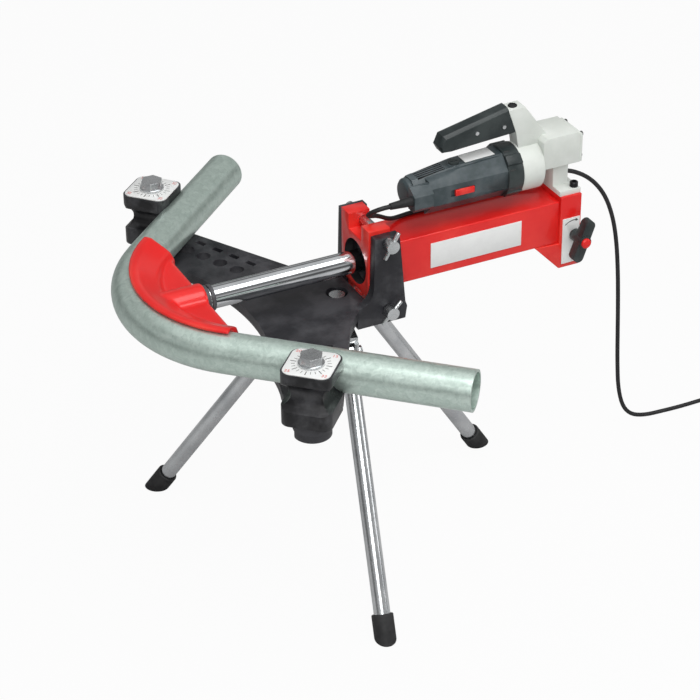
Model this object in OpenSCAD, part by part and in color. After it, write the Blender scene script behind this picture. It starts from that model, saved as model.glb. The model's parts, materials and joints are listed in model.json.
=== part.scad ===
// Hydraulic pipe bender on a tripod, with an electric pump, a bending former and a bent pipe.
// Millimetres, +Z up. The ram runs along X, the former is at -X and the pump at +X.

/* [Ram] */
// Height of the ram axis above the floor
ram_h = 463; // [430:1:520]
// Diameter of the ram
ram_d = 35; // [30:0.5:38]
// Distance from the head face to the ram's shoulder
ram_out = 246; // [236:1:256]
// Travel of the ram
stroke = 150; // [100:1:152]
// Diameter of the spigot that carries the former
spigot_d = 24; // [18:0.5:26]
// Length of the spigot
spigot_l = 32; // [20:1:36]
// Diameter of the nose collar
collar_d = 40; // [38:1:46]
// Length of the nose collar
collar_l = 13; // [8:1:18]

/* [Pipe] */
// Outside diameter of the bent pipe
pipe_d = 60.3; // [56:0.1:61]
// Wall of the bent pipe
pipe_wall = 3.9; // [2.5:0.1:5]
// Radius of the bend at the pipe's middle
bend_r = 200; // [196:1:204]
// Angle that the pipe is bent through
bend_angle = 94; // [90:1:96]
// Straight length after the bend, near side
front_len = 364; // [300:1:400]
// Straight length after the bend, far side
back_len = 303; // [280:1:360]

/* [Former] */
// Height of the former at its lips
former_h = 74; // [70:1:80]
// How far the lips reach past the pipe's middle
lip_over = 3; // [0:0.5:8]
// Radial depth of the former's ring
former_depth = 43; // [38:1:50]
// Width of the flat on a lip
lip_flat = 12; // [6:1:20]
// Drop from a lip to the inner ridge
ridge_drop = 17; // [8:1:20]
// Angle that the former spans
former_angle = 100; // [96:1:104]
// Thickness of the former's web
web_t = 20; // [14:1:30]
// Diameter of the former's socket boss
boss_d = 50; // [46:1:56]

/* [Frame] */
// Drop from the ram axis to the top of the plate
plate_drop = 46; // [44:1:52]
// Thickness of the plate
plate_t = 16; // [14:1:22]
// Thickness of an ear
ear_t = 15; // [10:1:20]
// Gap between the ears
ear_gap = 92; // [88:1:100]
// Height of the ears above the ram axis
ear_top = 64; // [62:1:72]
// Drop of the ears below the ram axis
ear_drop = 80; // [76:1:86]
// Length of an ear at its top
ear_top_l = 40; // [36:1:50]
// Length of an ear at its foot
ear_foot_l = 88; // [84:1:100]
// Distance from the tripod axis forward to the roller pins
roller_fwd = 177; // [174:1:182]
// Distance from the ram axis out to the roller pins
roller_side = 285; // [281:1:290]
// Radius of a wing round its roller pin
wing_tip_r = 29; // [28:1:34]
// Length of a wing's heel behind its roller pin
heel_l = 59; // [50:1:66]
// Drop of a wing's heel inwards from its roller pin
heel_in = 23; // [16:1:30]
// Pitch of the roller pin holes
hole_pitch = 34; // [30:1:38]
// Number of spare roller pin holes in a wing
hole_count = 4; // [2:1:4]
// Diameter of the boss under a roller
boss_under_d = 55; // [44:1:58]
// Height of the boss under a roller
boss_under_h = 12.5; // [8:0.5:20]
// Radius of the hollow front edge of the plate
front_r = 360; // [330:1:400]
// Distance from the tripod axis forward to the front edge
front_fwd = 141; // [130:1:150]
// Diameter of the hole in the middle of the plate
plate_hole_d = 34; // [30:1:40]

/* [Rollers] */
// Width of a roller block
roller_w = 74; // [72:1:80]
// Height of the roller above the ram axis
roller_top = 37; // [34:1:40]
// Corner radius of a roller block
roller_corner = 15; // [8:1:17]
// Distance from a roller pin to the pipe's middle
pin_to_pipe = 52.8; // [50:0.1:56]
// Diameter of the roller pin
roller_pin_d = 22; // [16:0.5:24]
// Thickness of the scale plate
scale_t = 1.6; // [1:0.1:3]
// Groove for the second pipe size
groove_b_d = 48.8; // [46:0.1:50]
// Groove for the third pipe size
groove_c_d = 43; // [40:0.1:45]
// Groove for the fourth pipe size
groove_d_d = 34.4; // [30:0.1:38]

/* [Cylinder] */
// Width and height of the square cylinder
cyl_w = 72; // [70:1:76]
// Bore of the cylinder
bore_d = 54; // [52:0.5:58]
// Length of the square cylinder
cyl_l = 296; // [290:1:320]
// Thickness of the head along the ram
head_l = 35; // [32:1:40]
// Drop of the head below the ram axis
head_drop = 42; // [40:1:46]
// Height of the head between its upper lugs
head_top = 45; // [42:0.5:45]
// Height of the head's upper lugs above the ram axis
lug_top = 70; // [66:1:76]
// Drop of the head's lower lugs below the ram axis
lug_drop = 76; // [70:1:79]
// Width of a lug
lug_w = 24.5; // [18:0.5:28]
// Diameter of the hole in the head face
head_hole_d = 71; // [66:1:76]
// Diameter of a lock pin
lock_d = 16; // [12:0.5:18]
// Height of the upper lock pin above the ram axis
lock_rise = 54; // [53:0.5:57]
// Drop of the lower lock pin below the ram axis
lock_drop = 59; // [56:0.5:62]
// Length of the bare plate on the cylinder
name_plate_l = 156; // [120:1:180]
// Height of the bare plate on the cylinder
name_plate_h = 42; // [30:1:50]
// Thickness of the piston
piston_t = 24; // [18:1:30]

/* [Valve block] */
// Length of the valve block
block_l = 36; // [34:1:50]
// Width of the valve block
block_w = 80; // [78:1:92]
// Height of the valve block above the ram axis
block_top = 44; // [42:1:48]
// Drop of the valve block below the ram axis
block_drop = 79; // [70:1:90]
// Length of the sloped neck into the block
neck_l = 41; // [36:1:50]
// Drop of the release valve below the ram axis
valve_drop = 22; // [16:1:30]
// Height of the bare plate on the block
valve_plate_h = 78; // [60:1:90]
// Length of the release knob across its wings
knob_l = 70; // [56:1:76]
// Width of a knob wing
knob_w = 17; // [14:0.5:20]

/* [Pump] */
// Thickness of the pump's base
base_t = 8; // [6:0.5:12]
// Length of the pump box
box_l = 63; // [58:1:70]
// Width of the pump box
box_w = 62; // [58:1:70]
// Height of the pump box
box_h = 51; // [48:1:56]
// Height of the box's underside above the ram axis
box_rise = 94; // [92:1:100]
// Diameter of the pump plunger
plunger_d = 12; // [8:0.5:14]
// Throw of the eccentric
throw = 3; // [2:0.1:4]
// Thickness of the end cover
cover_t = 5; // [4:0.5:8]

/* [Motor] */
// Height of the motor axis above the ram axis
motor_rise = 95; // [92:1:98]
// Width across the flats of the motor housing at its flange
motor_w = 71; // [70:1:76]
// Width across the flats where the louvred end begins
motor_mid_w = 65; // [62:1:68]
// Width across the flats at the end cap
motor_end_w = 46; // [44:1:50]
// Length of the motor housing's wide part
motor_l = 75; // [70:1:80]
// Length of the motor housing's louvred end
motor_end_l = 75; // [70:1:80]
// Number of louvres
louvre_count = 5; // [3:1:6]
// Bore of the motor housing
motor_bore_d = 56; // [52:0.5:58]
// Diameter of the motor flange
flange_d = 80; // [79:1:84]
// Length of the motor flange
flange_l = 26; // [20:1:28]
// Length of the gear housing
gear_l = 37; // [34:1:42]
// Diameter of the gear housing
gear_d = 78; // [76:1:80]
// Diameter of the motor shaft
shaft_d = 10; // [8:0.5:12]

/* [Grip] */
// Width of the grip
grip_w = 27; // [24:1:30]
// Length of the grip
grip_l = 128; // [120:1:134]
// Height of the grip's underside above the ram axis
grip_rise = 157; // [155:1:166]

/* [Tripod] */
// Distance of the feet from the tripod axis
foot_out = 312; // [290:1:330]
// Turn of the tripod about its axis
leg_turn = 16.4; // [12:0.1:18]
// Diameter of a leg tube
leg_d = 25; // [22:0.5:28]
// Wall of a leg tube
leg_wall = 1.5; // [1:0.1:3]
// Distance of the leg hinges from the tripod axis
hinge_out = 71.5; // [68:0.5:76]
// Diameter of a leg hinge bolt
hinge_d = 8; // [6:0.5:10]
// Diameter of a rubber foot
foot_d = 33; // [30:1:38]
// Length of a rubber foot
foot_l = 38; // [30:1:46]

/* [Cord] */
// Diameter of the mains lead
cord_d = 7; // [6:0.5:7]
// Turns in one layer of the coil
coil_turns = 4; // [3:1:5]
// Layers of the coil
coil_layers = 2; // [2:2:2]

/* [Fits] */
// Radial clearance of a turning or sliding fit
run_gap = 0.05; // [0.02:0.01:0.1]
// Clearance between pieces that pass each other
pass_gap = 0.5; // [0.3:0.1:1]
// Clearance between a pipe and its groove
groove_gap = 0.3; // [0.2:0.05:0.5]

/* [Hidden] */
$fn = 96;
eps = 0.01;

// Colours
cast_black = [0.09, 0.09, 0.10];
signal_red = [0.83, 0.10, 0.09];
zinc = [0.74, 0.77, 0.76];
chrome = [0.80, 0.82, 0.84];
pump_grey = [0.76, 0.79, 0.76];
motor_grey = [0.22, 0.26, 0.27];
rubber_black = [0.07, 0.07, 0.07];
label_white = [0.92, 0.93, 0.92];
steel = [0.62, 0.63, 0.65];
copper = [0.70, 0.42, 0.25];

// The pipe and the former
pipe_r = pipe_d / 2;
half_bend = bend_angle / 2;
arm_turn = 90 - half_bend;
pin_along = roller_fwd * cos(half_bend) + roller_side * sin(half_bend);
bend_x = (bend_r + pin_to_pipe - pin_along) / cos(half_bend);
groove_r = pipe_r + groove_gap;
seam = 0.15;
seam_l = 1;

// The frame
plate_z = ram_h - plate_drop;
under_z = plate_z - plate_t;
ear_in = ear_gap / 2;
ear_out = ear_in + ear_t;
head_x = 31;
ear_x = head_x + 3;
plate_end_x = head_x - 3;
ear_foot_x = ear_x + 53 - ear_foot_l;
pin_at = [-roller_fwd, roller_side];
wing_heel = pin_at + [heel_l, -heel_in];
wing_root = [-28, 102];
hole_dir = [0.42, -0.9075];
slot_w = 8;
slot_l = 17;
slot_off = [27, 8];
fillet_r = 26;

// The rollers
roller_low = plate_z + pass_gap;
scale_w = roller_w - 5;
pin_hole_r = roller_pin_d / 2 + run_gap;
hex_across = 37;
hex_h = 14;

// The cylinder and what it holds
head_end = head_x + head_l;
head_half = ear_in - pass_gap;
lock_x = head_x + 25;
lock_hole_r = lock_d / 2 + run_gap;
lock_head_d = 20;
lock_head_l = 15;
lock_low_z = ram_h - lock_drop;
lock_high_z = ram_h + lock_rise;
tommy_d = 6.4;
tommy_l = 46;
cyl_end = head_end + cyl_l;
bore_l = cyl_l - 12;
bore_r = bore_d / 2;
gland_recess = 13;
gland_l = 34;
ram_nose = head_x - ram_out;
piston_x = head_end + 96;
seal_t = 6;

// The valve block
block_x = cyl_end;
block_end = block_x + block_l;
block_half = block_w / 2;
valve_x = block_x + 24;
valve_z = ram_h - valve_drop;
spindle_d = 12;
knob_stand = 5;
knob_hub_d = 20;
knob_hub_l = 32;
knob_lean = 20;
plate_thin = 1.2;

// The pump
base_x = block_x;
base_l = block_l;
base_front = -36;
base_back = 28;
base_z = ram_h + block_top;
pillar_w = 26;
box_x = block_end - 2 - box_l;
box_end = box_x + box_l;
box_z = ram_h + box_rise;
box_wall = 6;
pillar_x = block_x + pillar_w / 2;
eccentric_z = ram_h + motor_rise + 19;
eccentric_r = 9.5;
crank_r = 6;
gear_x = box_x - gear_l;
gear_gap = eccentric_z - (ram_h + motor_rise);
pinion_r = 5.5;
wheel_r = gear_gap - pinion_r - 0.4;
gear_t = 9;

// The motor
motor_z = ram_h + motor_rise;
flange_x = gear_x - flange_l;
motor_x = flange_x - motor_l;
motor_end_x = motor_x - motor_end_l;
cap_l = 10;
cap_r = motor_end_w / 2 - 1;
cap_x = motor_end_x - cap_l;
motor_bore_r = motor_bore_d / 2;
end_bore_r = 16;
shaft_r = shaft_d / 2;
core_x = motor_x + 2;
core_l = 48;
fan_x = flange_x - 16;
brush_x = motor_x - 2;
brush_d = 17;
brush_seat = motor_mid_w / 2 + 0.6;
bearing_r = 11;
bearing_t = 7;
panel_x = motor_end_x + 20;
switch_l = 32;
switch_w = 10;
switch_h = 5;
switch_x = panel_x + 40;
switch_travel = 6;
outlet_x = motor_end_x - 12;
outlet_end = panel_x;
outlet_y = -34;
outlet_z = motor_z + 3;
outlet_front = -motor_w / 2 - 8;
boot_l = 36;
boot_r = 7.5;
boot_tip_r = 5;
boot_x = outlet_x - boot_l;

// The grip
post_x = gear_x - 3;
grip_x = post_x - grip_l;

// The tripod
hub_t = 8;
hub_bolt_in = 12;
hub_r = 40;
hub_low = ram_h - ear_drop - 2 * pass_gap - hub_t;
hinge_z = hub_low - 18;
spigot_under = 3;
hub_spigot_d = plate_hole_d - 10;
eye_w = 16;
eye_r = 12;
cheek_t = 6;
cheek_gap = 0.6;
leg_run = foot_out - hinge_out;
leg_lean = atan2(leg_run, hinge_z);
leg_len = norm([leg_run, hinge_z]);
leg_start = 17;
leg_sole = 12;
leg_turns = [leg_turn, leg_turn + 120, leg_turn + 240];

// The cord: points from the tip of the boot to the coil, relative to the tripod axis and the ram axis
cord_r = cord_d / 2;
cord_sides = 8;
coil_z = cord_r + 0.2 - ram_h;
cord_rise = outlet_z - ram_h;
cord_points = [
    [boot_x, outlet_y, cord_rise], [boot_x - 7, outlet_y, cord_rise], [57.3, -32.9, 97], [50.9, -29.6, 94.1],
    [46.5, -24.7, 89.9], [45, -19, 84.8], [46.5, -13.3, 79.7], [50.9, -8.4, 75.5], [57.3, -4.6, 72],
    [66, 0, 68], [78, 7, 60], [91, 15, 50.5], [104, 22, 43.5], [120, 28, 40.2],
    [140, 31, 39.8], [175, 31, 39.8], [210, 31, 39.8], [245, 31, 39.8], [280, 31, 39.8],
    [315, 32, 40.5], [340, 33, 44.5], [365, 33.5, 47.8], [398, 34, 47.8], [425, 34, 41],
    [452, 34, 25], [474, 34, 3], [492, 34, -26], [506, 34, -65], [515, 34, -110], [521, 34, -165],
    [525, 34, -225], [528, 34, -285], [531, 34, -340], [536, 34, -390], [546, 33, -428],
    [563, 32, -450], [588, 29, coil_z + 1], [622, 26, coil_z], [660, 24, coil_z], [700, 24, coil_z],
    [736, 24, coil_z]];
coil_r = 31;
coil_step = 7.6;
coil_centre = [750, 24 - coil_r - coil_step * (coil_turns - 0.5)];
coil_rings = 24;
plug_h = 21;
plug_w = 36;

// The box of the machine without its lead, which sets the origin below the middle of it
arm_cos = cos(arm_turn);
arm_sin = sin(arm_turn);
low_x = bend_x - bend_r - pipe_r;
high_x = box_end + cover_t + 3;
low_y = -bend_r * arm_cos - front_len * arm_sin - pipe_r * arm_cos;
high_y = bend_r * arm_cos + back_len * arm_sin + pipe_r * arm_cos;
middle = [(low_x + high_x) / 2, (low_y + high_y) / 2, 0];

// Moves a piece from the tripod axis to the part's origin
module placed() {
    translate(-middle) children();
}

// A cylinder along X from x0 to x1, at height z
module rod_x(x0, x1, r, z, y = 0) {
    translate([x0, y, z]) rotate([0, 90, 0]) cylinder(r = r, h = x1 - x0);
}

// A cylinder along Y from y0 to y1
module rod_y(y0, y1, r, x, z) {
    translate([x, y0, z]) rotate([-90, 0, 0]) cylinder(r = r, h = y1 - y0);
}

// A flat outline in X and Z, drawn out along Y from y0 to y1
module slab_y(y0, y1) {
    translate([0, y1, 0]) rotate([90, 0, 0]) linear_extrude(y1 - y0) children();
}

// Two copies, one on each side of the ram
module both_sides() {
    children();
    mirror([0, 1, 0]) children();
}

// A square outline with round corners
module round_square(w, r) {
    square([w, w - 2 * r], center = true);
    square([w - 2 * r, w], center = true);
    for (x = [-1, 1], y = [-1, 1])
        translate([x * (w / 2 - r), y * (w / 2 - r)]) circle(r);
}

// Places a piece at one leg, with +X pointing outwards
module at_leg(k) {
    rotate([0, 0, leg_turns[k]]) children();
}

// The frame: a Y plate with two ears and a boss under each roller

function spare_hole(k) = pin_at + k * hole_pitch * hole_dir;

// One half of the plate: a wing with its heel, and the root up to the ear
module wing_outline() {
    polygon([[plate_end_x, -eps], [plate_end_x, ear_in + eps], [ear_foot_x + 6, ear_out + 1], wing_root,
        wing_heel, pin_at + wing_tip_r * [cos(40), sin(40)], pin_at - [wing_tip_r, 0],
        [-roller_fwd - wing_tip_r, -eps]]);
    translate(pin_at) circle(wing_tip_r);
}

module wing_holes() {
    for (k = [2 : hole_count + 1]) {
        translate(spare_hole(k)) circle(pin_hole_r);
        translate(spare_hole(k) + slot_off) rotate(atan2(hole_dir[1], hole_dir[0]))
            square([slot_l, slot_w], center = true);
    }
}

module plate_outline() {
    difference() {
        both_sides() wing_outline();
        translate([-front_fwd - front_r, 0]) circle(front_r, $fn = 360);
        circle(d = plate_hole_d);
        both_sides() wing_holes();
    }
}

module ear_outline() {
    top_x = ear_x + ear_top_l;
    foot_end = ear_foot_x + ear_foot_l;
    low_z = ram_h - ear_drop;
    foot_start = ear_foot_x + 6;
    polygon([[foot_start, low_z], [foot_end - 3, low_z], [foot_end, low_z + 20], [foot_end - 3, low_z + 29],
        [top_x, ear_top + ram_h], [ear_x, ear_top + ram_h], [ear_x - 3, plate_z - eps],
        [ear_foot_x, plate_z - eps], [ear_foot_x, under_z], [foot_start, under_z]]);
    difference() {
        translate([ear_x - 3 - fillet_r, plate_z - eps]) square([fillet_r + 1, fillet_r]);
        translate([ear_x - 3 - fillet_r, plate_z + fillet_r]) circle(fillet_r);
    }
}

module bending_frame() color(cast_black) placed() difference() {
    union() {
        translate([0, 0, under_z]) linear_extrude(plate_t) plate_outline();
        both_sides() slab_y(ear_in, ear_out) ear_outline();
        both_sides() translate([-roller_fwd, roller_side, under_z - boss_under_h])
            cylinder(d = boss_under_d, h = boss_under_h + eps);
    }
    both_sides() translate([-roller_fwd, roller_side, under_z - boss_under_h - 1])
        cylinder(r = pin_hole_r, h = plate_t + boss_under_h + 2);
    for (z = [lock_low_z, lock_high_z])
        rod_y(-ear_out - 1, ear_out + 1, lock_hole_r, lock_x, z);
    for (k = [0 : 2]) at_leg(k) rotate(60) translate([hub_r - 10, 0, under_z - 1])
        cylinder(d = hinge_d + 2 * run_gap, h = hub_bolt_in + 2);
}

// The tripod

module tripod_hub() color(zinc) placed() difference() {
    union() {
        translate([0, 0, hub_low]) cylinder(r = hub_r, h = under_z - hub_low);
        translate([0, 0, under_z - eps]) cylinder(d = hub_spigot_d, h = plate_t - spigot_under);
        for (k = [0 : 2]) at_leg(k) {
            translate([0, -eye_w / 2 - cheek_gap - cheek_t, hub_low])
                cube([hinge_out + 6, eye_w + 2 * (cheek_gap + cheek_t), hub_t]);
            for (s = [-1, 1]) translate([0, s * (eye_w / 2 + cheek_gap + cheek_t / 2), 0]) hub_cheek();
        }
    }
    for (k = [0 : 2]) at_leg(k) {
        rod_y(-50, 50, hinge_d / 2 + run_gap, hinge_out, hinge_z);
        rotate(60) translate([hub_r - 10, 0, hub_low - 1])
            cylinder(d = hinge_d + 2 * pass_gap, h = under_z - hub_low + 2);
    }
}

// One cheek of a leg's hinge
module hub_cheek() {
    slab_y(-cheek_t / 2, cheek_t / 2) {
        translate([hinge_out, hinge_z]) circle(12);
        translate([hinge_out - 24, hinge_z]) square([36, hub_low - hinge_z + eps]);
    }
}

// The hinge bolts of the legs and the bolts that hold the hub under the plate
module hub_bolts() color(steel) placed() for (k = [0 : 2]) at_leg(k) {
    outer = eye_w / 2 + cheek_gap + cheek_t;
    rod_y(-outer, outer + 8, hinge_d / 2, hinge_out, hinge_z);
    translate([hinge_out, -outer, hinge_z]) rotate([90, 0, 0]) cylinder(d = 15, h = 6, $fn = 6);
    translate([hinge_out, outer, hinge_z]) rotate([-90, 0, 0]) cylinder(d = 15, h = 6.5, $fn = 6);
    rotate(60) translate([hub_r - 10, 0, hub_low - 6]) {
        cylinder(d = 15, h = 6, $fn = 6);
        cylinder(d = hinge_d, h = under_z - hub_low + 6 + hub_bolt_in);
    }
}

module at_hinge(k) {
    at_leg(k) translate([hinge_out, 0, hinge_z]) rotate([0, 180 - leg_lean, 0]) children();
}

module leg(k) color(zinc) placed() at_hinge(k) difference() {
    union() {
        rotate([90, 0, 0]) cylinder(r = eye_r, h = eye_w, center = true);
        intersection() {
            cylinder(d = leg_d - 2 * leg_wall, h = leg_start + 24);
            translate([0, 0, 20]) cube([leg_d, eye_w, 60], center = true);
        }
        translate([0, 0, leg_start]) difference() {
            cylinder(d = leg_d, h = leg_len - leg_start - leg_sole - leg_d * 0.5);
            translate([0, 0, 20]) cylinder(d = leg_d - 2 * leg_wall, h = leg_len);
        }
    }
    rotate([90, 0, 0]) cylinder(d = hinge_d + 2 * run_gap, h = eye_w + 2, center = true);
}

module foot(k) color(rubber_black) placed() intersection() {
    at_hinge(k) difference() {
        translate([0, 0, leg_len - foot_l]) cylinder(d = foot_d, h = foot_l + 20);
        translate([0, 0, leg_len - foot_l - 1])
            cylinder(d = leg_d + 2 * run_gap, h = foot_l + 1 - leg_sole - leg_d * 0.5);
    }
    at_leg(k) translate([foot_out - foot_l * 2, -foot_d, 0]) cube([foot_l * 4, 2 * foot_d, foot_l * 2]);
}

module leg_back() leg(0);
module leg_left() leg(1);
module leg_front() leg(2);
module foot_back() foot(0);
module foot_left() foot(1);
module foot_front() foot(2);

// The cylinder, its head and its gland

module lug(z0, z1, x0) {
    translate([x0, head_half - lug_w, z0]) cube([head_end - x0, lug_w, z1 - z0]);
}

module cylinder_head() color(signal_red) placed() difference() {
    union() {
        translate([head_x, -head_half, ram_h - head_drop]) cube([head_l, 2 * head_half, head_drop + head_top]);
        both_sides() lug(ram_h, ram_h + lug_top, head_x);
        both_sides() lug(ram_h - lug_drop, ram_h, head_x + 10);
    }
    rod_x(head_x - 1, head_end + 1, head_hole_d / 2, ram_h);
    for (z = [lock_low_z, lock_high_z])
        rod_y(-head_half - 1, head_half + 1, lock_hole_r, lock_x, z);
    both_sides() translate([head_x - 1, head_half, ram_h - head_drop]) rotate([45, 0, 0])
        cube([head_l + 2, 9, 9], center = true);
}

module cylinder_body() color(signal_red) placed() difference() {
    translate([head_end, -cyl_w / 2, ram_h - cyl_w / 2]) cube([cyl_l, cyl_w, cyl_w]);
    rod_x(head_end - 1, head_end + bore_l, bore_r, ram_h);
}

module gland_bush() color(cast_black) placed() difference() {
    union() {
        rod_x(head_x + gland_recess, head_end, head_hole_d / 2 - run_gap, ram_h);
        rod_x(head_end - eps, head_end + gland_l, bore_r - run_gap, ram_h);
    }
    rod_x(head_x, head_end + gland_l + 1, ram_d / 2 + run_gap, ram_h);
}

module ram_rod() color(chrome) placed() {
    rod_x(ram_nose, piston_x, ram_d / 2, ram_h);
    rod_x(ram_nose - spigot_l, ram_nose + eps, spigot_d / 2, ram_h);
}

module piston() color(steel) placed() difference() {
    rod_x(piston_x, piston_x + piston_t, bore_r - run_gap, ram_h);
    translate([piston_x + piston_t / 2 - seal_t / 2, 0, ram_h]) rotate([0, 90, 0]) difference() {
        cylinder(r = bore_r + 1, h = seal_t);
        translate([0, 0, -1]) cylinder(r = bore_r - 5, h = seal_t + 2);
    }
}

module piston_seal() color(rubber_black) placed() translate([piston_x + piston_t / 2 - seal_t / 2, 0, ram_h])
    rotate([0, 90, 0]) difference() {
        cylinder(r = bore_r - run_gap / 2, h = seal_t);
        translate([0, 0, -1]) cylinder(r = bore_r - 5, h = seal_t + 2);
    }

// The collar is two rings with a narrow groove between them
module nose_collar() color(cast_black) placed() for (x = [ram_nose, ram_nose + collar_l / 2 + 1]) difference() {
    rod_x(x, x + collar_l / 2 - 1, collar_d / 2, ram_h);
    rod_x(x - 1, x + collar_l / 2, ram_d / 2, ram_h);
}

// The former: a grooved ring with sloped shoulders, a flat web and a socket for the ram's spigot

module former_ring_outline() {
    lip = bend_r + lip_over;
    ring_in = lip - former_depth;
    ridge_z = former_h / 2 - ridge_drop;
    foot_z = web_t / 2 - 3;
    polygon([[lip, -former_h / 2], [lip, former_h / 2], [lip - lip_flat, former_h / 2], [ring_in, ridge_z],
        [ring_in - 8, foot_z], [ring_in - 8, -foot_z], [ring_in, -ridge_z], [lip - lip_flat, -former_h / 2]]);
}

module former() color(signal_red) placed() translate([bend_x, 0, ram_h]) difference() {
    ring_in = bend_r + lip_over - former_depth;
    boss_x = ram_nose - bend_x;
    web_half = former_angle / 2 - 1.5;
    union() {
        rotate([0, 0, 180 - former_angle / 2]) rotate_extrude(angle = former_angle) former_ring_outline();
        translate([0, 0, -web_t / 2]) linear_extrude(web_t) intersection() {
            circle(ring_in + 6);
            polygon([[boss_x - 2, -bend_r], [boss_x - 2, bend_r], [-bend_r, bend_r], [-bend_r, -bend_r]]);
            polygon([[0, 0], 3 * bend_r * [-cos(web_half), -sin(web_half)],
                3 * bend_r * [-cos(web_half), sin(web_half)]]);
        }
        translate([boss_x, 0, 0]) rotate([0, -90, 0]) cylinder(d = boss_d, h = ring_in + boss_x + former_depth / 2);
    }
    rotate_extrude() translate([bend_r, 0]) circle(groove_r);
    translate([boss_x + 1, 0, 0]) rotate([0, -90, 0]) cylinder(d = spigot_d + 2 * run_gap, h = spigot_l + 1.2);
}

// The bent pipe

module pipe_wall_outline(inset) {
    translate([bend_r, 0]) difference() {
        circle(pipe_r - inset);
        circle(pipe_r - pipe_wall + inset);
    }
}

module pipe_arm(length) {
    rotate([90, 0, 0]) linear_extrude(length) pipe_wall_outline(0);
}

module pipe() color(zinc) placed() translate([bend_x, 0, ram_h]) {
    rotate([0, 0, 180 - half_bend]) rotate_extrude(angle = bend_angle) pipe_wall_outline(seam);
    rotate([0, 0, 180 - half_bend]) translate([0, seam_l, 0]) pipe_arm(back_len + seam_l);
    rotate([0, 0, 180 + half_bend]) translate([0, front_len, 0]) pipe_arm(front_len + seam_l);
}

// The rollers: a block with a groove for one pipe size on each side, turned to face the pipe

module at_roller(s) {
    translate([-roller_fwd, s * roller_side, 0]) rotate([0, 0, s * arm_turn]) children();
}

module roller_groove(d, turn) {
    rotate([0, 0, turn]) translate([0, -pin_to_pipe + pipe_r - d / 2, ram_h]) rotate([0, 90, 0])
        cylinder(d = d, h = 2 * roller_w, center = true);
}

module roller(s) color(cast_black) placed() at_roller(s) difference() {
    translate([0, 0, roller_low]) linear_extrude(ram_h + roller_top - roller_low)
        round_square(roller_w, roller_corner);
    roller_groove(2 * groove_r, s > 0 ? 0 : 180);
    roller_groove(groove_b_d, s > 0 ? 180 : 0);
    roller_groove(groove_c_d, 90);
    roller_groove(groove_d_d, 270);
    translate([0, 0, roller_low - 1]) cylinder(r = pin_hole_r, h = roller_top + plate_drop + 2);
}

module scale_plate(s) color(label_white) placed() at_roller(s) difference() {
    translate([0, 0, ram_h + roller_top]) linear_extrude(scale_t) round_square(scale_w, roller_corner - 2);
    translate([0, 0, ram_h + roller_top - 1]) cylinder(r = pin_hole_r, h = scale_t + 2);
}

module front_roller() roller(-1);
module back_roller() roller(1);
module front_scale_plate() scale_plate(-1);
module back_scale_plate() scale_plate(1);

module roller_pins() color(steel) placed() both_sides() translate([-roller_fwd, roller_side, 0]) {
    top = ram_h + roller_top + scale_t + pass_gap;
    low = under_z - boss_under_h;
    translate([0, 0, low]) cylinder(d = roller_pin_d, h = top - low + eps);
    translate([0, 0, top]) cylinder(d = hex_across, h = 2.5);
    translate([0, 0, top]) cylinder(d = hex_across - 3, h = hex_h, $fn = 6);
}

// The lock pins that hold the cylinder between the ears

module lock_pin(z, lean) color(zinc) placed() difference() {
    union() {
        rod_y(-ear_out - 1, ear_out + 8, lock_d / 2, lock_x, z);
        rod_y(-ear_out - 1 - lock_head_l, -ear_out - 1 + eps, lock_head_d / 2, lock_x, z);
    }
    tommy_place(z, lean) cylinder(d = tommy_d + 2 * run_gap, h = 60, center = true);
}

module tommy_place(z, lean) {
    translate([lock_x, -ear_out - 1 - lock_head_l * 0.6, z]) rotate([0, lean, 0]) children();
}

module tommy_bar(z, lean) color(zinc) placed() tommy_place(z, lean)
    cylinder(d = tommy_d, h = tommy_l, center = true);

module upper_lock_pin() lock_pin(lock_high_z, 30);
module upper_tommy_bar() tommy_bar(lock_high_z, 30);
module lower_lock_pin() lock_pin(lock_low_z, 44);
module lower_tommy_bar() tommy_bar(lock_low_z, 44);

// The valve block with its sloped neck, the release valve and the bare plates

module valve_block() color(signal_red) placed() difference() {
    neck_x = block_x - neck_l;
    neck_z = ram_h - cyl_w / 2 - eps;
    intersection() {
        slab_y(-block_half, block_half) polygon([[neck_x, neck_z], [block_x, ram_h - block_drop],
            [block_end, ram_h - block_drop], [block_end, base_z], [block_x, base_z], [block_x, neck_z]]);
        translate([0, 0, ram_h - 2 * block_drop]) linear_extrude(4 * block_drop) polygon([[neck_x, -cyl_w / 2],
            [block_x, -block_half], [block_end, -block_half], [block_end, block_half], [block_x, block_half],
            [neck_x, cyl_w / 2]]);
    }
    rod_y(-block_half - 1, 0, spindle_d / 2 + run_gap, valve_x, valve_z);
    translate([pillar_x, 0, ram_h]) cylinder(d = plunger_d - 4, h = block_top + 1);
}

module valve_plate() color(label_white) placed() difference() {
    translate([block_x + 4, -block_half - plate_thin, ram_h - block_drop + 7])
        cube([block_l - 6, plate_thin, valve_plate_h]);
    rod_y(-block_half - 2, 0, spindle_d / 2 + 1, valve_x, valve_z);
}

module name_plate() color(label_white) placed()
    translate([head_end + 73, -cyl_w / 2 - plate_thin, ram_h - 1 - name_plate_h / 2])
        cube([name_plate_l, plate_thin, name_plate_h]);

module release_spindle() color(steel) placed()
    rod_y(-block_half - knob_stand - knob_hub_l + 8, -8, spindle_d / 2, valve_x, valve_z);

// Places a piece on the release valve's axis, at a distance in front of the block
module on_valve(out) {
    translate([valve_x, -block_half - out, valve_z]) rotate([90, 0, 0]) children();
}

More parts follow.
